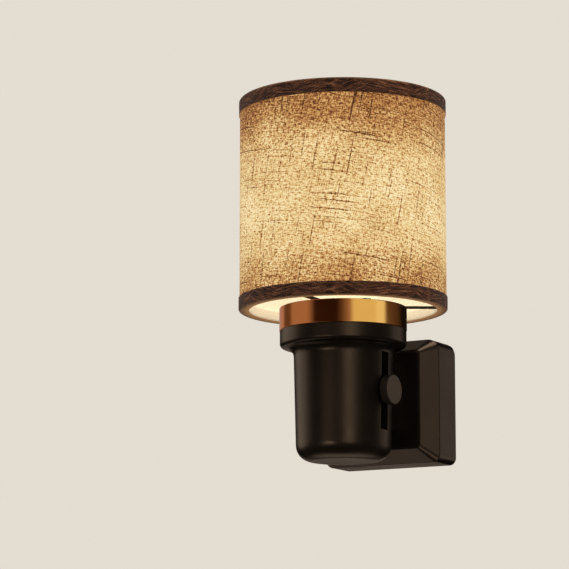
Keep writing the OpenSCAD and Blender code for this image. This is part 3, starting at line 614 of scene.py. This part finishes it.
# The dimmer: a board with a transistor and three resistors, and a slide potentiometer whose
# folded steel case holds a phenolic track and a wiper block of white acetal.
paint(nodes["dimmer_board"], laminate)
paint(nodes["dimmer_transistor"], package_resin)
paint(nodes["dimmer_resistors"], package_resin)
case_steel = plated("bright_tinned_steel", "#9a9c9e", "#bfc0bf", 0.3, mark_mm=0.5)
paint(nodes["slider_case"], case_steel)
paint(nodes["slider_track"], moulded("phenolic_paper", "#4c3019", "#6a4526", 0.5, grain=0.6))
paint(nodes["slider_carriage"], moulded("white_acetal", "#cfcabd", "#e2ded2", 0.38))

# The dimmer's knob: a flat round button of satin black ABS with a crisp front rim, on a
# narrow stem that goes through the slot onto the potentiometer's lever.
knob_low, knob_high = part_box("dimmer_knob")
KNOB_R = 5.15 * MM
KNOB_T = 2.9 * MM
KNOB_EDGE = 0.35 * MM
KNOB_BACK_EDGE = 0.4 * MM
DISC_X = 17.6 * MM
STEM_X = 13 * MM
STEM_HALF = 1.8 * MM
STEM_H = 8 * MM
STEM_EDGE = 0.3 * MM
STEM_IN = 0.5 * MM
knob_z = (knob_low.z + knob_high.z) / 2
brick((STEM_X, AXIS_Y - STEM_HALF, knob_z - STEM_H / 2),
    (DISC_X + STEM_IN, AXIS_Y + STEM_HALF, knob_z + STEM_H / 2))
stem = begin("stem")
pick(stem, "edges", lambda p: True)
bevel(STEM_EDGE, 3)
bpy.ops.object.mode_set(mode="OBJECT")
bpy.ops.object.select_all(action="DESELECT")
bpy.ops.mesh.primitive_cylinder_add(vertices=96, radius=KNOB_R, depth=KNOB_T,
    location=(DISC_X + KNOB_T / 2, AXIS_Y, knob_z), rotation=(0, math.radians(90), 0))
knob = begin("dimmer_button")
pick(knob, "edges", lambda p: near(p.x, DISC_X + KNOB_T))
bevel(KNOB_EDGE, 4)
pick(knob, "edges", lambda p: near(p.x, DISC_X))
bevel(KNOB_BACK_EDGE, 4)
finish_mesh(knob)
combine(knob, [stem], "UNION")
turn_to_slot(knob)
use_modifier(knob, "WEIGHTED_NORMAL", keep_sharp=True)
paint(knob, moulded("satin_black_abs_knob", "#211c18", "#2c2621", 0.42))
place_piece(knob, "dimmer", "knob_plastic", "dimmer_knob")

# The head: leads to the LED board, and the dished plate that carries it on the cup's flange,
# moulded in black ABS and held by three plated screws.
paint(nodes["led_lead_red"], red_pvc)
paint(nodes["led_lead_black"], black_pvc)
paint(nodes["head_plate"], moulded("matt_black_abs", "#1d1a18", "#2a2623", 0.55))
paint(nodes["head_screws"], zinc_plate)

# The collar. A cap spun from brass sheet, copper-toned and polished bright under clear
# lacquer. Polishing leaves fine lines round it, and its folded rims catch a thin highlight.
COLLAR_WALL = 0.9 * MM
COLLAR_TOP_R = 0.35 * MM
COLLAR_LOW_R = 0.2 * MM
LIP_T_METAL = 0.8 * MM
LIP_R = 12.1 * MM
COLLAR_SIDES = 256
LINE_MM = 0.12
LINE_RUN_MM = 6
TARNISH_MM = 9
collar_r = collar_high.x
wall_r = collar_r - COLLAR_WALL
under_lip = collar_high.z - LIP_T_METAL
collar_outline = ([(wall_r, collar_low.z)]
    + arc(collar_r - COLLAR_LOW_R, collar_low.z + COLLAR_LOW_R, COLLAR_LOW_R, -90, 0, 4)
    + arc(collar_r - COLLAR_TOP_R, collar_high.z - COLLAR_TOP_R, COLLAR_TOP_R, 0, 90, 6)
    + [(LIP_R, collar_high.z), (LIP_R, under_lip), (wall_r, under_lip), (wall_r, collar_low.z)])
collar = lathe("polished_collar", collar_outline, COLLAR_SIDES)
finish_mesh(collar)
use_modifier(collar, "WEIGHTED_NORMAL", keep_sharp=True)
material, tree = new_material("polished_copper_brass")
place = add(tree, "ShaderNodeTexCoord").outputs["Object"]
around = add(tree, "ShaderNodeMapping", {"Vector": place,
    "Scale": (1 / (LINE_RUN_MM * MM), 1 / (LINE_RUN_MM * MM), 1 / (LINE_MM * MM))})
lines = add(tree, "ShaderNodeTexNoise", {"Vector": around, "Scale": 1, "Detail": 2})
clouds = add(tree, "ShaderNodeTexNoise", {"Vector": place, "Scale": 1 / (TARNISH_MM * MM),
    "Detail": 3})
colour = add(tree, "ShaderNodeMix", {0: clouds, 6: linear("#e8a05a"), 7: linear("#f0aa64")},
    data_type="RGBA")
gloss = add(tree, "ShaderNodeMapRange", {"Value": clouds, "From Min": 0.3, "From Max": 0.7,
    "To Min": 0.1, "To Max": 0.17})
bump = add(tree, "ShaderNodeBump", {"Height": lines, "Strength": 0.12, "Distance": 0.004 * MM})
shader = add(tree, "ShaderNodeBsdfPrincipled", {"Base Color": colour, "Metallic": 1,
    "Roughness": gloss, "Normal": bump})
add(tree, "ShaderNodeOutputMaterial", {"Surface": shader})
paint(collar, material)
place_piece(collar, "lamp", "collar_metal", "brass_collar")

# The LED board and its eight LEDs: an aluminium-backed board with white solder mask, and
# square packages filled with yellow phosphor, lit.
paint(nodes["led_board"], moulded("white_solder_mask", "#dcdad2", "#eae8e0", 0.35))
material, tree = new_material("lit_phosphor")
place = add(tree, "ShaderNodeTexCoord").outputs["Object"]
grit = add(tree, "ShaderNodeTexNoise", {"Vector": place, "Scale": 1 / (0.3 * MM)})
colour = add(tree, "ShaderNodeMix", {0: grit, 6: linear("#d9b548"), 7: linear("#ecd27a")},
    data_type="RGBA")
gloss = add(tree, "ShaderNodeMapRange", {"Value": grit, "To Min": 0.3, "To Max": 0.5})
bump = add(tree, "ShaderNodeBump", {"Height": grit, "Strength": 0.3, "Distance": 0.02 * MM})
shader = add(tree, "ShaderNodeBsdfPrincipled", {"Base Color": colour, "Roughness": gloss,
    "Normal": bump, "Emission Color": linear("#ffdf9a"), "Emission Strength": 2})
add(tree, "ShaderNodeOutputMaterial", {"Surface": shader})
paint(nodes["led_chips"], material)

# The frosted cover over the LEDs. Injection-moulded polycarbonate, a tube with a domed top
# and a foot flange. It is lit from inside, evenly but for a soft mottle.
dome_low, dome_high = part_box("diffuser")
DOME_R = 11.9 * MM
DOME_WALL = 1.5 * MM
DOME_FOOT_T = 1.5 * MM
DOME_END = 88
DOME_SIDES = 96
FROST_MM = 0.4
MOTTLE_MM = 9
dome_in_r = DOME_R - DOME_WALL
foot_out_r = dome_high.x
dome_turn = dome_high.z - DOME_R
dome_outline = ([(dome_in_r, dome_low.z), (foot_out_r, dome_low.z),
    (foot_out_r, dome_low.z + DOME_FOOT_T), (DOME_R, dome_low.z + DOME_FOOT_T)]
    + arc(0, dome_turn, DOME_R, 0, DOME_END, 20))
dome = lathe("frosted_dome", dome_outline, DOME_SIDES)
cap(dome, dome_outline[-1][1])
bpy.ops.object.mode_set(mode="OBJECT")
inner_outline = [(dome_in_r, dome_low.z)] + arc(0, dome_turn, dome_in_r, 0, DOME_END, 12)
inner = lathe("inner", inner_outline, DOME_SIDES)
cap(inner, inner_outline[-1][1])
bpy.ops.object.mode_set(mode="OBJECT")
bpy.ops.object.select_all(action="DESELECT")
inner.select_set(True)
dome.select_set(True)
bpy.context.view_layer.objects.active = dome
bpy.ops.object.join()
bpy.ops.object.mode_set(mode="EDIT")
finish_mesh(dome)
material, tree = new_material("frosted_polycarbonate")
place = add(tree, "ShaderNodeTexCoord").outputs["Object"]
frost = add(tree, "ShaderNodeTexNoise", {"Vector": place, "Scale": 1 / (FROST_MM * MM),
    "Detail": 2})
mottle = add(tree, "ShaderNodeTexNoise", {"Vector": place, "Scale": 1 / (MOTTLE_MM * MM)})
colour = add(tree, "ShaderNodeMix", {0: mottle, 6: linear("#efe6d2"), 7: linear("#f7f0de")},
    data_type="RGBA")
gloss = add(tree, "ShaderNodeMapRange", {"Value": frost, "To Min": 0.45, "To Max": 0.62})
bump = add(tree, "ShaderNodeBump", {"Height": frost, "Strength": 0.3, "Distance": 0.02 * MM})
glow = add(tree, "ShaderNodeMix", {0: mottle, 6: linear("#ffe6b8"), 7: linear("#ffecc8")},
    data_type="RGBA")
shader = add(tree, "ShaderNodeBsdfPrincipled", {"Base Color": colour, "Roughness": gloss,
    "IOR": 1.58, "Normal": bump, "Emission Color": glow, "Emission Strength": 0.75})
add(tree, "ShaderNodeOutputMaterial", {"Surface": shader})
paint(dome, material)
place_piece(dome, "lamp", "frosted_cover", "diffuser")

# The three-armed shade carrier, stamped from steel and powder-coated dark brown, and its
# screws.
paint(nodes["shade_spider"], moulded("brown_powder_coat", "#2b2420", "#3d332c", 0.5, grain=0.3))
paint(nodes["shade_screws"], zinc_plate)

# The two hoops that keep the shade round. White polypropylene, with rounded edges, faintly
# translucent. Their glow is painted light: an emission that stands in for the light from inside.
HOOP_W = 2.3 * MM
HOOP_EDGE = 0.5 * MM
HOOP_SIDES = 192
hoop_white = moulded("white_polypropylene", "#efe8da", "#faf5ea", 0.42)
hoop_shader = hoop_white.node_tree.nodes["Principled BSDF"]
# Painted light: this emission stands in for the LEDs' light falling on the hoops.
hoop_shader.inputs["Emission Color"].default_value = linear("#fff0d2")
hoop_shader.inputs["Emission Strength"].default_value = 0.3


def hoop_outline(low, high, outer, inner):
    """Points (radius, height) of a hoop's section, a rectangle with four rounded corners."""
    e = HOOP_EDGE
    points = (arc(outer - e, low + e, e, -90, 0, 4) + arc(outer - e, high - e, e, 0, 90, 4)
        + arc(inner + e, high - e, e, 90, 180, 4) + arc(inner + e, low + e, e, 180, 270, 4))
    return points + points[:1]


hoops = []
for name, node in (("lower_hoop", "bottom_hoop"), ("upper_hoop", "top_hoop")):
    low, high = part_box(node)
    hoop_in_r = high.x - HOOP_W
    hoop = lathe(name, hoop_outline(low.z, high.z, high.x, hoop_in_r), HOOP_SIDES)
    finish_mesh(hoop)
    paint(hoop, hoop_white)
    place_piece(hoop, "lamp", "hoop_white", node)
    hoops.append(hoop)

# The linen of the shade, glued round a stiff translucent liner. Natural undyed flax in plain
# weave: uneven threads, thick dark slubs both ways, and light from inside that shines through
# the gaps. Real threads lie 0.4 mm apart. They are drawn 0.6 mm apart, so that they show.
linen_low, linen_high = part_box("shade_linen")
LINEN_T = 0.5 * MM
LINEN_R = linen_high.x
LINEN_H = linen_high.z - linen_low.z
LINEN_COLUMNS = 400
LINEN_ROWS = 130
LINEN_RELIEF = 0.12 * MM
LINEN_LUMP = (2.2 * MM, 0.7 * MM)


def wrapped_cloth(name, outline, columns, relief, lump_round, lump_up):
    """Cloth wrapped once round the shade: a closed thin section with UVs in metres.

    Its U runs round from the seam at the back, and its V along the section. Its outermost
    wall is pressed in by up to the relief, in lumps of the given sizes.
    """
    mesh = bmesh.new()
    uv = mesh.loops.layers.uv.new("UVMap")
    outer = max(r for r, z in outline)
    lengths = [0]
    for a, b in zip(outline, outline[1:] + outline[:1]):
        lengths.append(lengths[-1] + math.dist(a, b))
    rings = []
    for (r, z), along in zip(outline, lengths):
        ring = []
        for i in range(columns):
            a = 2 * math.pi * i / columns
            round_side = Vector((math.sin(a), math.cos(a), 0))
            spot = round_side * (outer / lump_round) + Vector((0, 0, along / lump_up))
            pressed = relief * (0.5 + 0.5 * noise.noise(spot)) if near(r, outer) else 0
            point = round_side * (r - pressed)
            ring.append(mesh.verts.new((point.x, AXIS_Y + point.y, z)))
        rings.append(ring)
    for j, ring in enumerate(rings):
        after = rings[(j + 1) % len(rings)]
        for i in range(columns):
            k = (i + 1) % columns
            face = mesh.faces.new((ring[i], ring[k], after[k], after[i]))
            face.smooth = True
            u_low, u_high = (2 * math.pi * outer * side / columns for side in (i, i + 1))
            for loop, place in zip(face.loops, ((u_low, lengths[j]), (u_high, lengths[j]),
                    (u_high, lengths[j + 1]), (u_low, lengths[j + 1]))):
                loop[uv].uv = place
    bmesh.ops.recalc_face_normals(mesh, faces=mesh.faces)
    data = bpy.data.meshes.new(name)
    mesh.to_mesh(data)
    mesh.free()
    piece = bpy.data.objects.new(name, data)
    bpy.context.scene.collection.objects.link(piece)
    return piece


rows = [linen_low.z + LINEN_H * i / LINEN_ROWS for i in range(LINEN_ROWS + 1)]
linen_outline = ([(LINEN_R, z) for z in rows]
    + [(LINEN_R - LINEN_T, linen_high.z), (LINEN_R - LINEN_T, linen_low.z)])
linen = wrapped_cloth("linen_cover", linen_outline, LINEN_COLUMNS, LINEN_RELIEF, *LINEN_LUMP)

# The layers of the weave. Each leans as its threads do, and its streaks run so many millimetres
# round and up. The knots are short bits of thread both ways, which break the streaks up.
THREAD_MM = 0.6
KNOT_MM = 0.4
WARP_LEAN = math.radians(11)
WEFT_LEAN = math.radians(7)
LAYERS = [("warp", WARP_LEAN, THREAD_MM, 6), ("weft", WEFT_LEAN, 9, THREAD_MM),
    ("warp_knots", WARP_LEAN, KNOT_MM, 2 * THREAD_MM),
    ("weft_knots", WEFT_LEAN, 2.5 * THREAD_MM, KNOT_MM)]
WARP_SHARE = 0.32
WEFT_SHARE = 0.5
KNOT_SHARE = 2.4
# Slubs are thick places: how far each kind runs round and up, its part of the noise, its lean.
SLUBS = [(0.8, 26, 3.1, WARP_LEAN), (34, 0.8, 7.7, WEFT_LEAN)]
CLOTH_CLOUD_MM = 16


def weave(tree, place):
    """The light that each spot of the linen lets through, about 1, and its threads' height."""
    streaks = []
    for name, lean, across, along in LAYERS:
        thread = add(tree, "ShaderNodeMapping", {"Vector": place, "Rotation": (0, 0, lean),
            "Scale": (across * MM, along * MM, 1)}, vector_type="TEXTURE", label=name)
        streaks.append(add(tree, "ShaderNodeTexNoise", {"Vector": thread, "Scale": 1,
            "Detail": 2, "Roughness": 0.6}, noise_dimensions="2D"))
    warp, weft, warp_knots, weft_knots = streaks
    knots = add(tree, "ShaderNodeMix", {0: 0.55, 2: warp_knots, 3: weft_knots},
        data_type="FLOAT")
    clouds = add(tree, "ShaderNodeTexNoise", {"Vector": place,
        "Scale": 1 / (CLOTH_CLOUD_MM * MM), "Detail": 3}, noise_dimensions="2D")
    slubs = []
    for across, along, shift, lean in SLUBS:
        line = add(tree, "ShaderNodeMapping", {"Vector": place, "Location": (shift, shift, 0),
            "Rotation": (0, 0, lean), "Scale": (across * MM, along * MM, 1)},
            vector_type="TEXTURE")
        peak = add(tree, "ShaderNodeTexNoise", {"Vector": line, "Scale": 1, "Detail": 1},
            noise_dimensions="2D")
        slubs.append(add(tree, "ShaderNodeMapRange", {"Value": peak, "From Min": 0.69,
            "From Max": 0.76}))
    level = add(tree, "ShaderNodeMath", {0: weft, 1: WEFT_SHARE}, operation="MULTIPLY")
    crossed = add(tree, "ShaderNodeMath", {0: warp, 1: WARP_SHARE, 2: level},
        operation="MULTIPLY_ADD")
    fine = add(tree, "ShaderNodeMath", {0: knots, 1: KNOT_SHARE, 2: crossed},
        operation="MULTIPLY_ADD")
    through = add(tree, "ShaderNodeMapRange", {"Value": fine, "From Min": 1.14,
        "From Max": 1.84, "To Min": 0.2, "To Max": 1.3})
    slub = add(tree, "ShaderNodeMath", {0: slubs[0], 1: slubs[1]}, operation="MAXIMUM")
    beads = add(tree, "ShaderNodeMapRange", {"Value": knots, "From Min": 0.65, "From Max": 0.35,
        "To Min": 0.35, "To Max": 1})
    dark = add(tree, "ShaderNodeMath", {0: slub, 1: beads}, operation="MULTIPLY")
    kept = add(tree, "ShaderNodeMath", {0: 1, 1: dark}, operation="SUBTRACT")
    shade = add(tree, "ShaderNodeMath", {0: through, 1: kept}, operation="MULTIPLY")
    cloud = add(tree, "ShaderNodeMapRange", {"Value": clouds, "From Min": 0.3, "From Max": 0.7,
        "To Min": 0.88, "To Max": 1.12})
    light = add(tree, "ShaderNodeMath", {0: shade, 1: cloud}, operation="MULTIPLY")
    height = add(tree, "ShaderNodeMath", {0: dark, 1: fine}, operation="SUBTRACT")
    return light, height


# Flax linen seen with light behind it: where the cloth is thin the light comes through cream,
# and where threads cross or thicken it is brown. The light is strongest beside the LEDs.
material, tree = new_material("natural_flax_linen")
cloth_place = add(tree, "ShaderNodeUVMap", uv_map="UVMap")
light, height = weave(tree, cloth_place)
object_place = add(tree, "ShaderNodeTexCoord").outputs["Object"]
up = add(tree, "ShaderNodeSeparateXYZ", {0: object_place}).outputs["Z"]
SHADE_Z = (33, 108)
FULL_LIGHT = 1.56
level = add(tree, "ShaderNodeMapRange", {"Value": up, "From Min": SHADE_Z[0] * MM,
    "From Max": SHADE_Z[1] * MM})
LEVELS = [(34, 0.39), (41, 0.5), (52, 0.87), (68, 1.0), (82, 0.87), (91, 0.6), (98, 0.36),
    (106, 0.26)]
glow = add(tree, "ShaderNodeValToRGB", {0: level}, stops=[((z - SHADE_Z[0])
    / (SHADE_Z[1] - SHADE_Z[0]), (share, share, share, 1)) for z, share in LEVELS])
# Threads stand out more where less light comes through.
depth = add(tree, "ShaderNodeMapRange", {"Value": glow, "From Min": 0.2, "From Max": 0.9,
    "To Min": 2.6, "To Max": 1.1})
drawn = add(tree, "ShaderNodeMath", {0: light, 1: depth}, operation="POWER")
lamp_light = add(tree, "ShaderNodeMath", {0: glow, 1: drawn}, operation="MULTIPLY")
shining = add(tree, "ShaderNodeMath", {0: lamp_light, 1: 1 / FULL_LIGHT}, operation="MULTIPLY")
# Stops of the light that comes through, from dark threads to open gaps, in linear colour.
glow_colour = add(tree, "ShaderNodeValToRGB", {0: shining}, stops=[(0, (0.01, 0.003, 0.001, 1)),
    (0.13, (0.19, 0.05, 0.012, 1)), (0.32, (0.5, 0.265, 0.078, 1)),
    (0.6, (0.76, 0.6, 0.28, 1)), (1, (0.95, 0.86, 0.58, 1))])
colour = add(tree, "ShaderNodeMix", {0: light, 6: linear("#3a1e0e"), 7: linear("#7e5832")},
    data_type="RGBA")
gloss = add(tree, "ShaderNodeMapRange", {"Value": light, "To Min": 0.75, "To Max": 0.92})
bump = add(tree, "ShaderNodeBump", {"Height": height, "Strength": 0.7, "Distance": 0.12 * MM})
shader = add(tree, "ShaderNodeBsdfPrincipled", {"Base Color": colour, "Roughness": gloss,
    "IOR": 1.45, "Normal": bump, "Sheen Weight": 0.1, "Emission Color": glow_colour,
    "Emission Strength": 1})
add(tree, "ShaderNodeOutputMaterial", {"Surface": shader})
paint(linen, material)
place_piece(linen, "lamp", "linen", "shade_linen")

# The liner: a stiff film of white styrene with a satin face. The linen behind it shows faintly as
# painted shade, where its threads shade the film from the room. Its glow is painted light.
material, tree = new_material("satin_styrene_film")
place = add(tree, "ShaderNodeTexCoord").outputs["Object"]
axes = add(tree, "ShaderNodeSeparateXYZ", {0: place})
off_axis = add(tree, "ShaderNodeMath", {0: axes.outputs["Y"], 1: -AXIS_Y}, operation="ADD")
turn = add(tree, "ShaderNodeMath", {0: axes.outputs["X"], 1: off_axis}, operation="ARCTAN2")
round_wall = add(tree, "ShaderNodeMath", {0: turn, 1: LINEN_R}, operation="MULTIPLY")
film_place = add(tree, "ShaderNodeCombineXYZ", {"X": round_wall, "Y": axes.outputs["Z"]})
light, height = weave(tree, film_place)
colour = add(tree, "ShaderNodeMix", {0: light, 6: linear("#e0d2b4"), 7: linear("#faf5ea")},
    data_type="RGBA")
gloss = add(tree, "ShaderNodeMapRange", {"Value": light, "To Min": 0.4, "To Max": 0.55})
bump = add(tree, "ShaderNodeBump", {"Height": height, "Strength": 0.15, "Distance": 0.05 * MM})
# Painted light: the emission stands in for the LEDs' light on the film.
shader = add(tree, "ShaderNodeBsdfPrincipled", {"Base Color": colour, "Roughness": gloss,
    "IOR": 1.55, "Normal": bump, "Emission Color": linear("#fff0d2"), "Emission Strength": 0.35})
add(tree, "ShaderNodeOutputMaterial", {"Surface": shader})
paint(nodes["shade_liner"], material)

# The hem tapes. Dark brown woven tape with a streaky, bark-like face, wrapped round the
# shade's edges and in under its hoops, and glued. Under a hoop it catches the light inside.
TAPE_T = 0.3 * MM
TAPE_EDGE = 0.9 * MM
TAPE_COLUMNS = 512
TAPE_RELIEF = 0.08 * MM
TAPE_LUMP = (3 * MM, 0.5 * MM)
TAPE_STREAKS = [(-20, 6, 0.6), (7, 7, 0.55)]
TAPE_PATCH_MM = 11
TAPE_FLECK_MM = 0.45
LIT_FROM = 4.2 * MM
LIT_TO = 7 * MM
LIT_LEVEL = 0.34
tape_cloth, tree = new_material("dark_streaked_tape")
place = add(tree, "ShaderNodeUVMap", uv_map="UVMap")
streaks = []
for turn, long, thin in TAPE_STREAKS:
    slanted = add(tree, "ShaderNodeMapping", {"Vector": place,
        "Rotation": (0, 0, math.radians(turn)), "Scale": (long * MM, thin * MM, 1)},
        vector_type="TEXTURE")
    streaks.append(add(tree, "ShaderNodeTexNoise", {"Vector": slanted, "Scale": 1, "Detail": 3,
        "Roughness": 0.65, "Distortion": 0.5}, noise_dimensions="2D"))
patches = add(tree, "ShaderNodeTexNoise", {"Vector": place, "Scale": 1 / (TAPE_PATCH_MM * MM)},
    noise_dimensions="2D")
patch = add(tree, "ShaderNodeMapRange", {"Value": patches, "From Min": 0.42, "From Max": 0.58})
crossed = add(tree, "ShaderNodeMix", {0: patch, 2: streaks[0], 3: streaks[1]}, data_type="FLOAT")
flecks = add(tree, "ShaderNodeTexNoise", {"Vector": place, "Scale": 1 / (TAPE_FLECK_MM * MM),
    "Detail": 1}, noise_dimensions="2D")
mixed = add(tree, "ShaderNodeMix", {0: 0.2, 2: crossed, 3: flecks}, data_type="FLOAT")
colour = add(tree, "ShaderNodeValToRGB", {0: mixed}, stops=[(0.38, linear("#26110a")),
    (0.47, linear("#442414")), (0.54, linear("#683c24")), (0.63, linear("#98603c"))])
across = add(tree, "ShaderNodeSeparateXYZ", {0: place}).outputs["Y"]
turned_in = add(tree, "ShaderNodeMapRange", {"Value": across, "From Min": LIT_FROM,
    "From Max": LIT_TO, "To Max": LIT_LEVEL})
gloss = add(tree, "ShaderNodeMapRange", {"Value": mixed, "To Min": 0.85, "To Max": 0.6})
bump = add(tree, "ShaderNodeBump", {"Height": mixed, "Strength": 0.8, "Distance": 0.2 * MM})
shader = add(tree, "ShaderNodeBsdfPrincipled", {"Base Color": colour, "Roughness": gloss,
    "IOR": 1.45, "Normal": bump, "Sheen Weight": 0.15,
    "Emission Color": linear("#e0a468"), "Emission Strength": turned_in})
add(tree, "ShaderNodeOutputMaterial", {"Surface": shader})
tapes = []
for name, node in (("lower_tape", "bottom_trim"), ("upper_tape", "top_trim")):
    low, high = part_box(node)
    base, tall = (low.z, 1) if node == "bottom_trim" else (high.z, -1)
    r = high.x
    size = high.z - low.z
    turn_in = arc(r - TAPE_EDGE, TAPE_EDGE, TAPE_EDGE, 0, -90, 6)
    turn_out = arc(r - TAPE_EDGE, TAPE_EDGE, TAPE_EDGE - TAPE_T, -90, 0, 6)
    side = [(r, size - (size - TAPE_EDGE) * i / 8) for i in range(8)]
    under = [(r - TAPE_EDGE - (r - TAPE_EDGE - hoop_in_r) * i / 5, 0) for i in range(1, 6)]
    outline = side + turn_in + under + [(hoop_in_r, TAPE_T)] + turn_out + [(r - TAPE_T, size)]
    tape = wrapped_cloth(name, [(x, base + tall * z) for x, z in outline], TAPE_COLUMNS,
        TAPE_RELIEF, *TAPE_LUMP)
    paint(tape, tape_cloth)
    place_piece(tape, "lamp", "trim_tape", node)
    tapes.append(tape)

# Narrow lamps that only gloss sees, each linked to the pieces that it draws a soft band on. The
# striped screen lights bare metal alone, and to all else it is a black cloth round the studio.
WARM_WHITE = "#ffe6cc"


def group_of(name, pieces):
    group = bpy.data.collections.new(name)
    for piece in pieces:
        group.objects.link(piece)
    return group


plastics = group_of("plastics", [rear, cover, cup, knob])


def gloss_strip(name, turn, rise, width, height, level, pieces, distance=1.2):
    """A lamp for the gloss of the given pieces. Only the black plastics can shade its light."""
    lamp = softbox(name, turn, rise, distance, width, height, level * math.pi * width * height)
    lamp.data.color = linear(WARM_WHITE)[:3]
    lamp.visible_glossy = True
    lamp.visible_diffuse = False
    lamp.light_linking.receiver_collection = group_of(name + "_lights", pieces)
    lamp.light_linking.blocker_collection = plastics


gloss_strip("strip_front", 42, 9, 0.42, 1, 2.6, [cup])
gloss_strip("strip_left", -88, 9, 1.3, 1, 1.15, [cup])
gloss_strip("strip_side", 142, 9, 0.7, 1, 0.6, [cup])
gloss_strip("strip_low", -8, -12, 0.35, 0.12, 15, [cup])
gloss_strip("strip_under", -152, -66, 0.8, 0.8, 0.9, [cup], 0.9)
gloss_strip("strip_bevel", 86, 9, 0.5, 1, 1.4, [cover])
gloss_strip("strip_mitre", 95, 69, 0.3, 0.3, 13, [cover])
gloss_strip("strip_mitre_low", 72, -56, 0.3, 0.3, 6, [cover], 1.1)
gloss_strip("strip_bevel_high", -137, 50, 0.5, 0.5, 0.3, [cover])
gloss_strip("strip_bevel_low", -115, -61, 0.4, 0.4, 0.8, [cover], 0.9)
gloss_strip("strip_rear", 152, 6, 0.6, 1, 0.5, [rear])
gloss_strip("strip_rear_left", -152, 6, 0.6, 1, 0.4, [rear, cup])
gloss_strip("strip_knob", 144, 9, 0.5, 1, 0.9, [knob])
gloss_strip("strip_knob_side", 112, -10, 0.5, 0.6, 0.6, [knob])
gloss_strip("strip_back", 135, -16, 0.7, 0.6, 0.6, [rear])
gloss_strip("strip_left_side", -120, -22, 0.8, 0.7, 1, [rear, cover])
gloss_strip("strip_face", 58, -28, 0.5, 0.4, 0.7, [cover])
bare_metal = [collar, bpy.data.objects["plug_blade_left"], bpy.data.objects["plug_blade_right"],
    nodes["shell_screws"], nodes["neck_screws"], nodes["head_screws"], nodes["shade_screws"]]
screen.light_linking.receiver_collection = group_of("bare_metal", bare_metal)

# The glow inside the shade stays out of the collar's polish, which shows the studio instead.
for piece in (linen, dome, *tapes, *hoops, nodes["shade_liner"], nodes["shade_spider"]):
    piece.visible_glossy = False
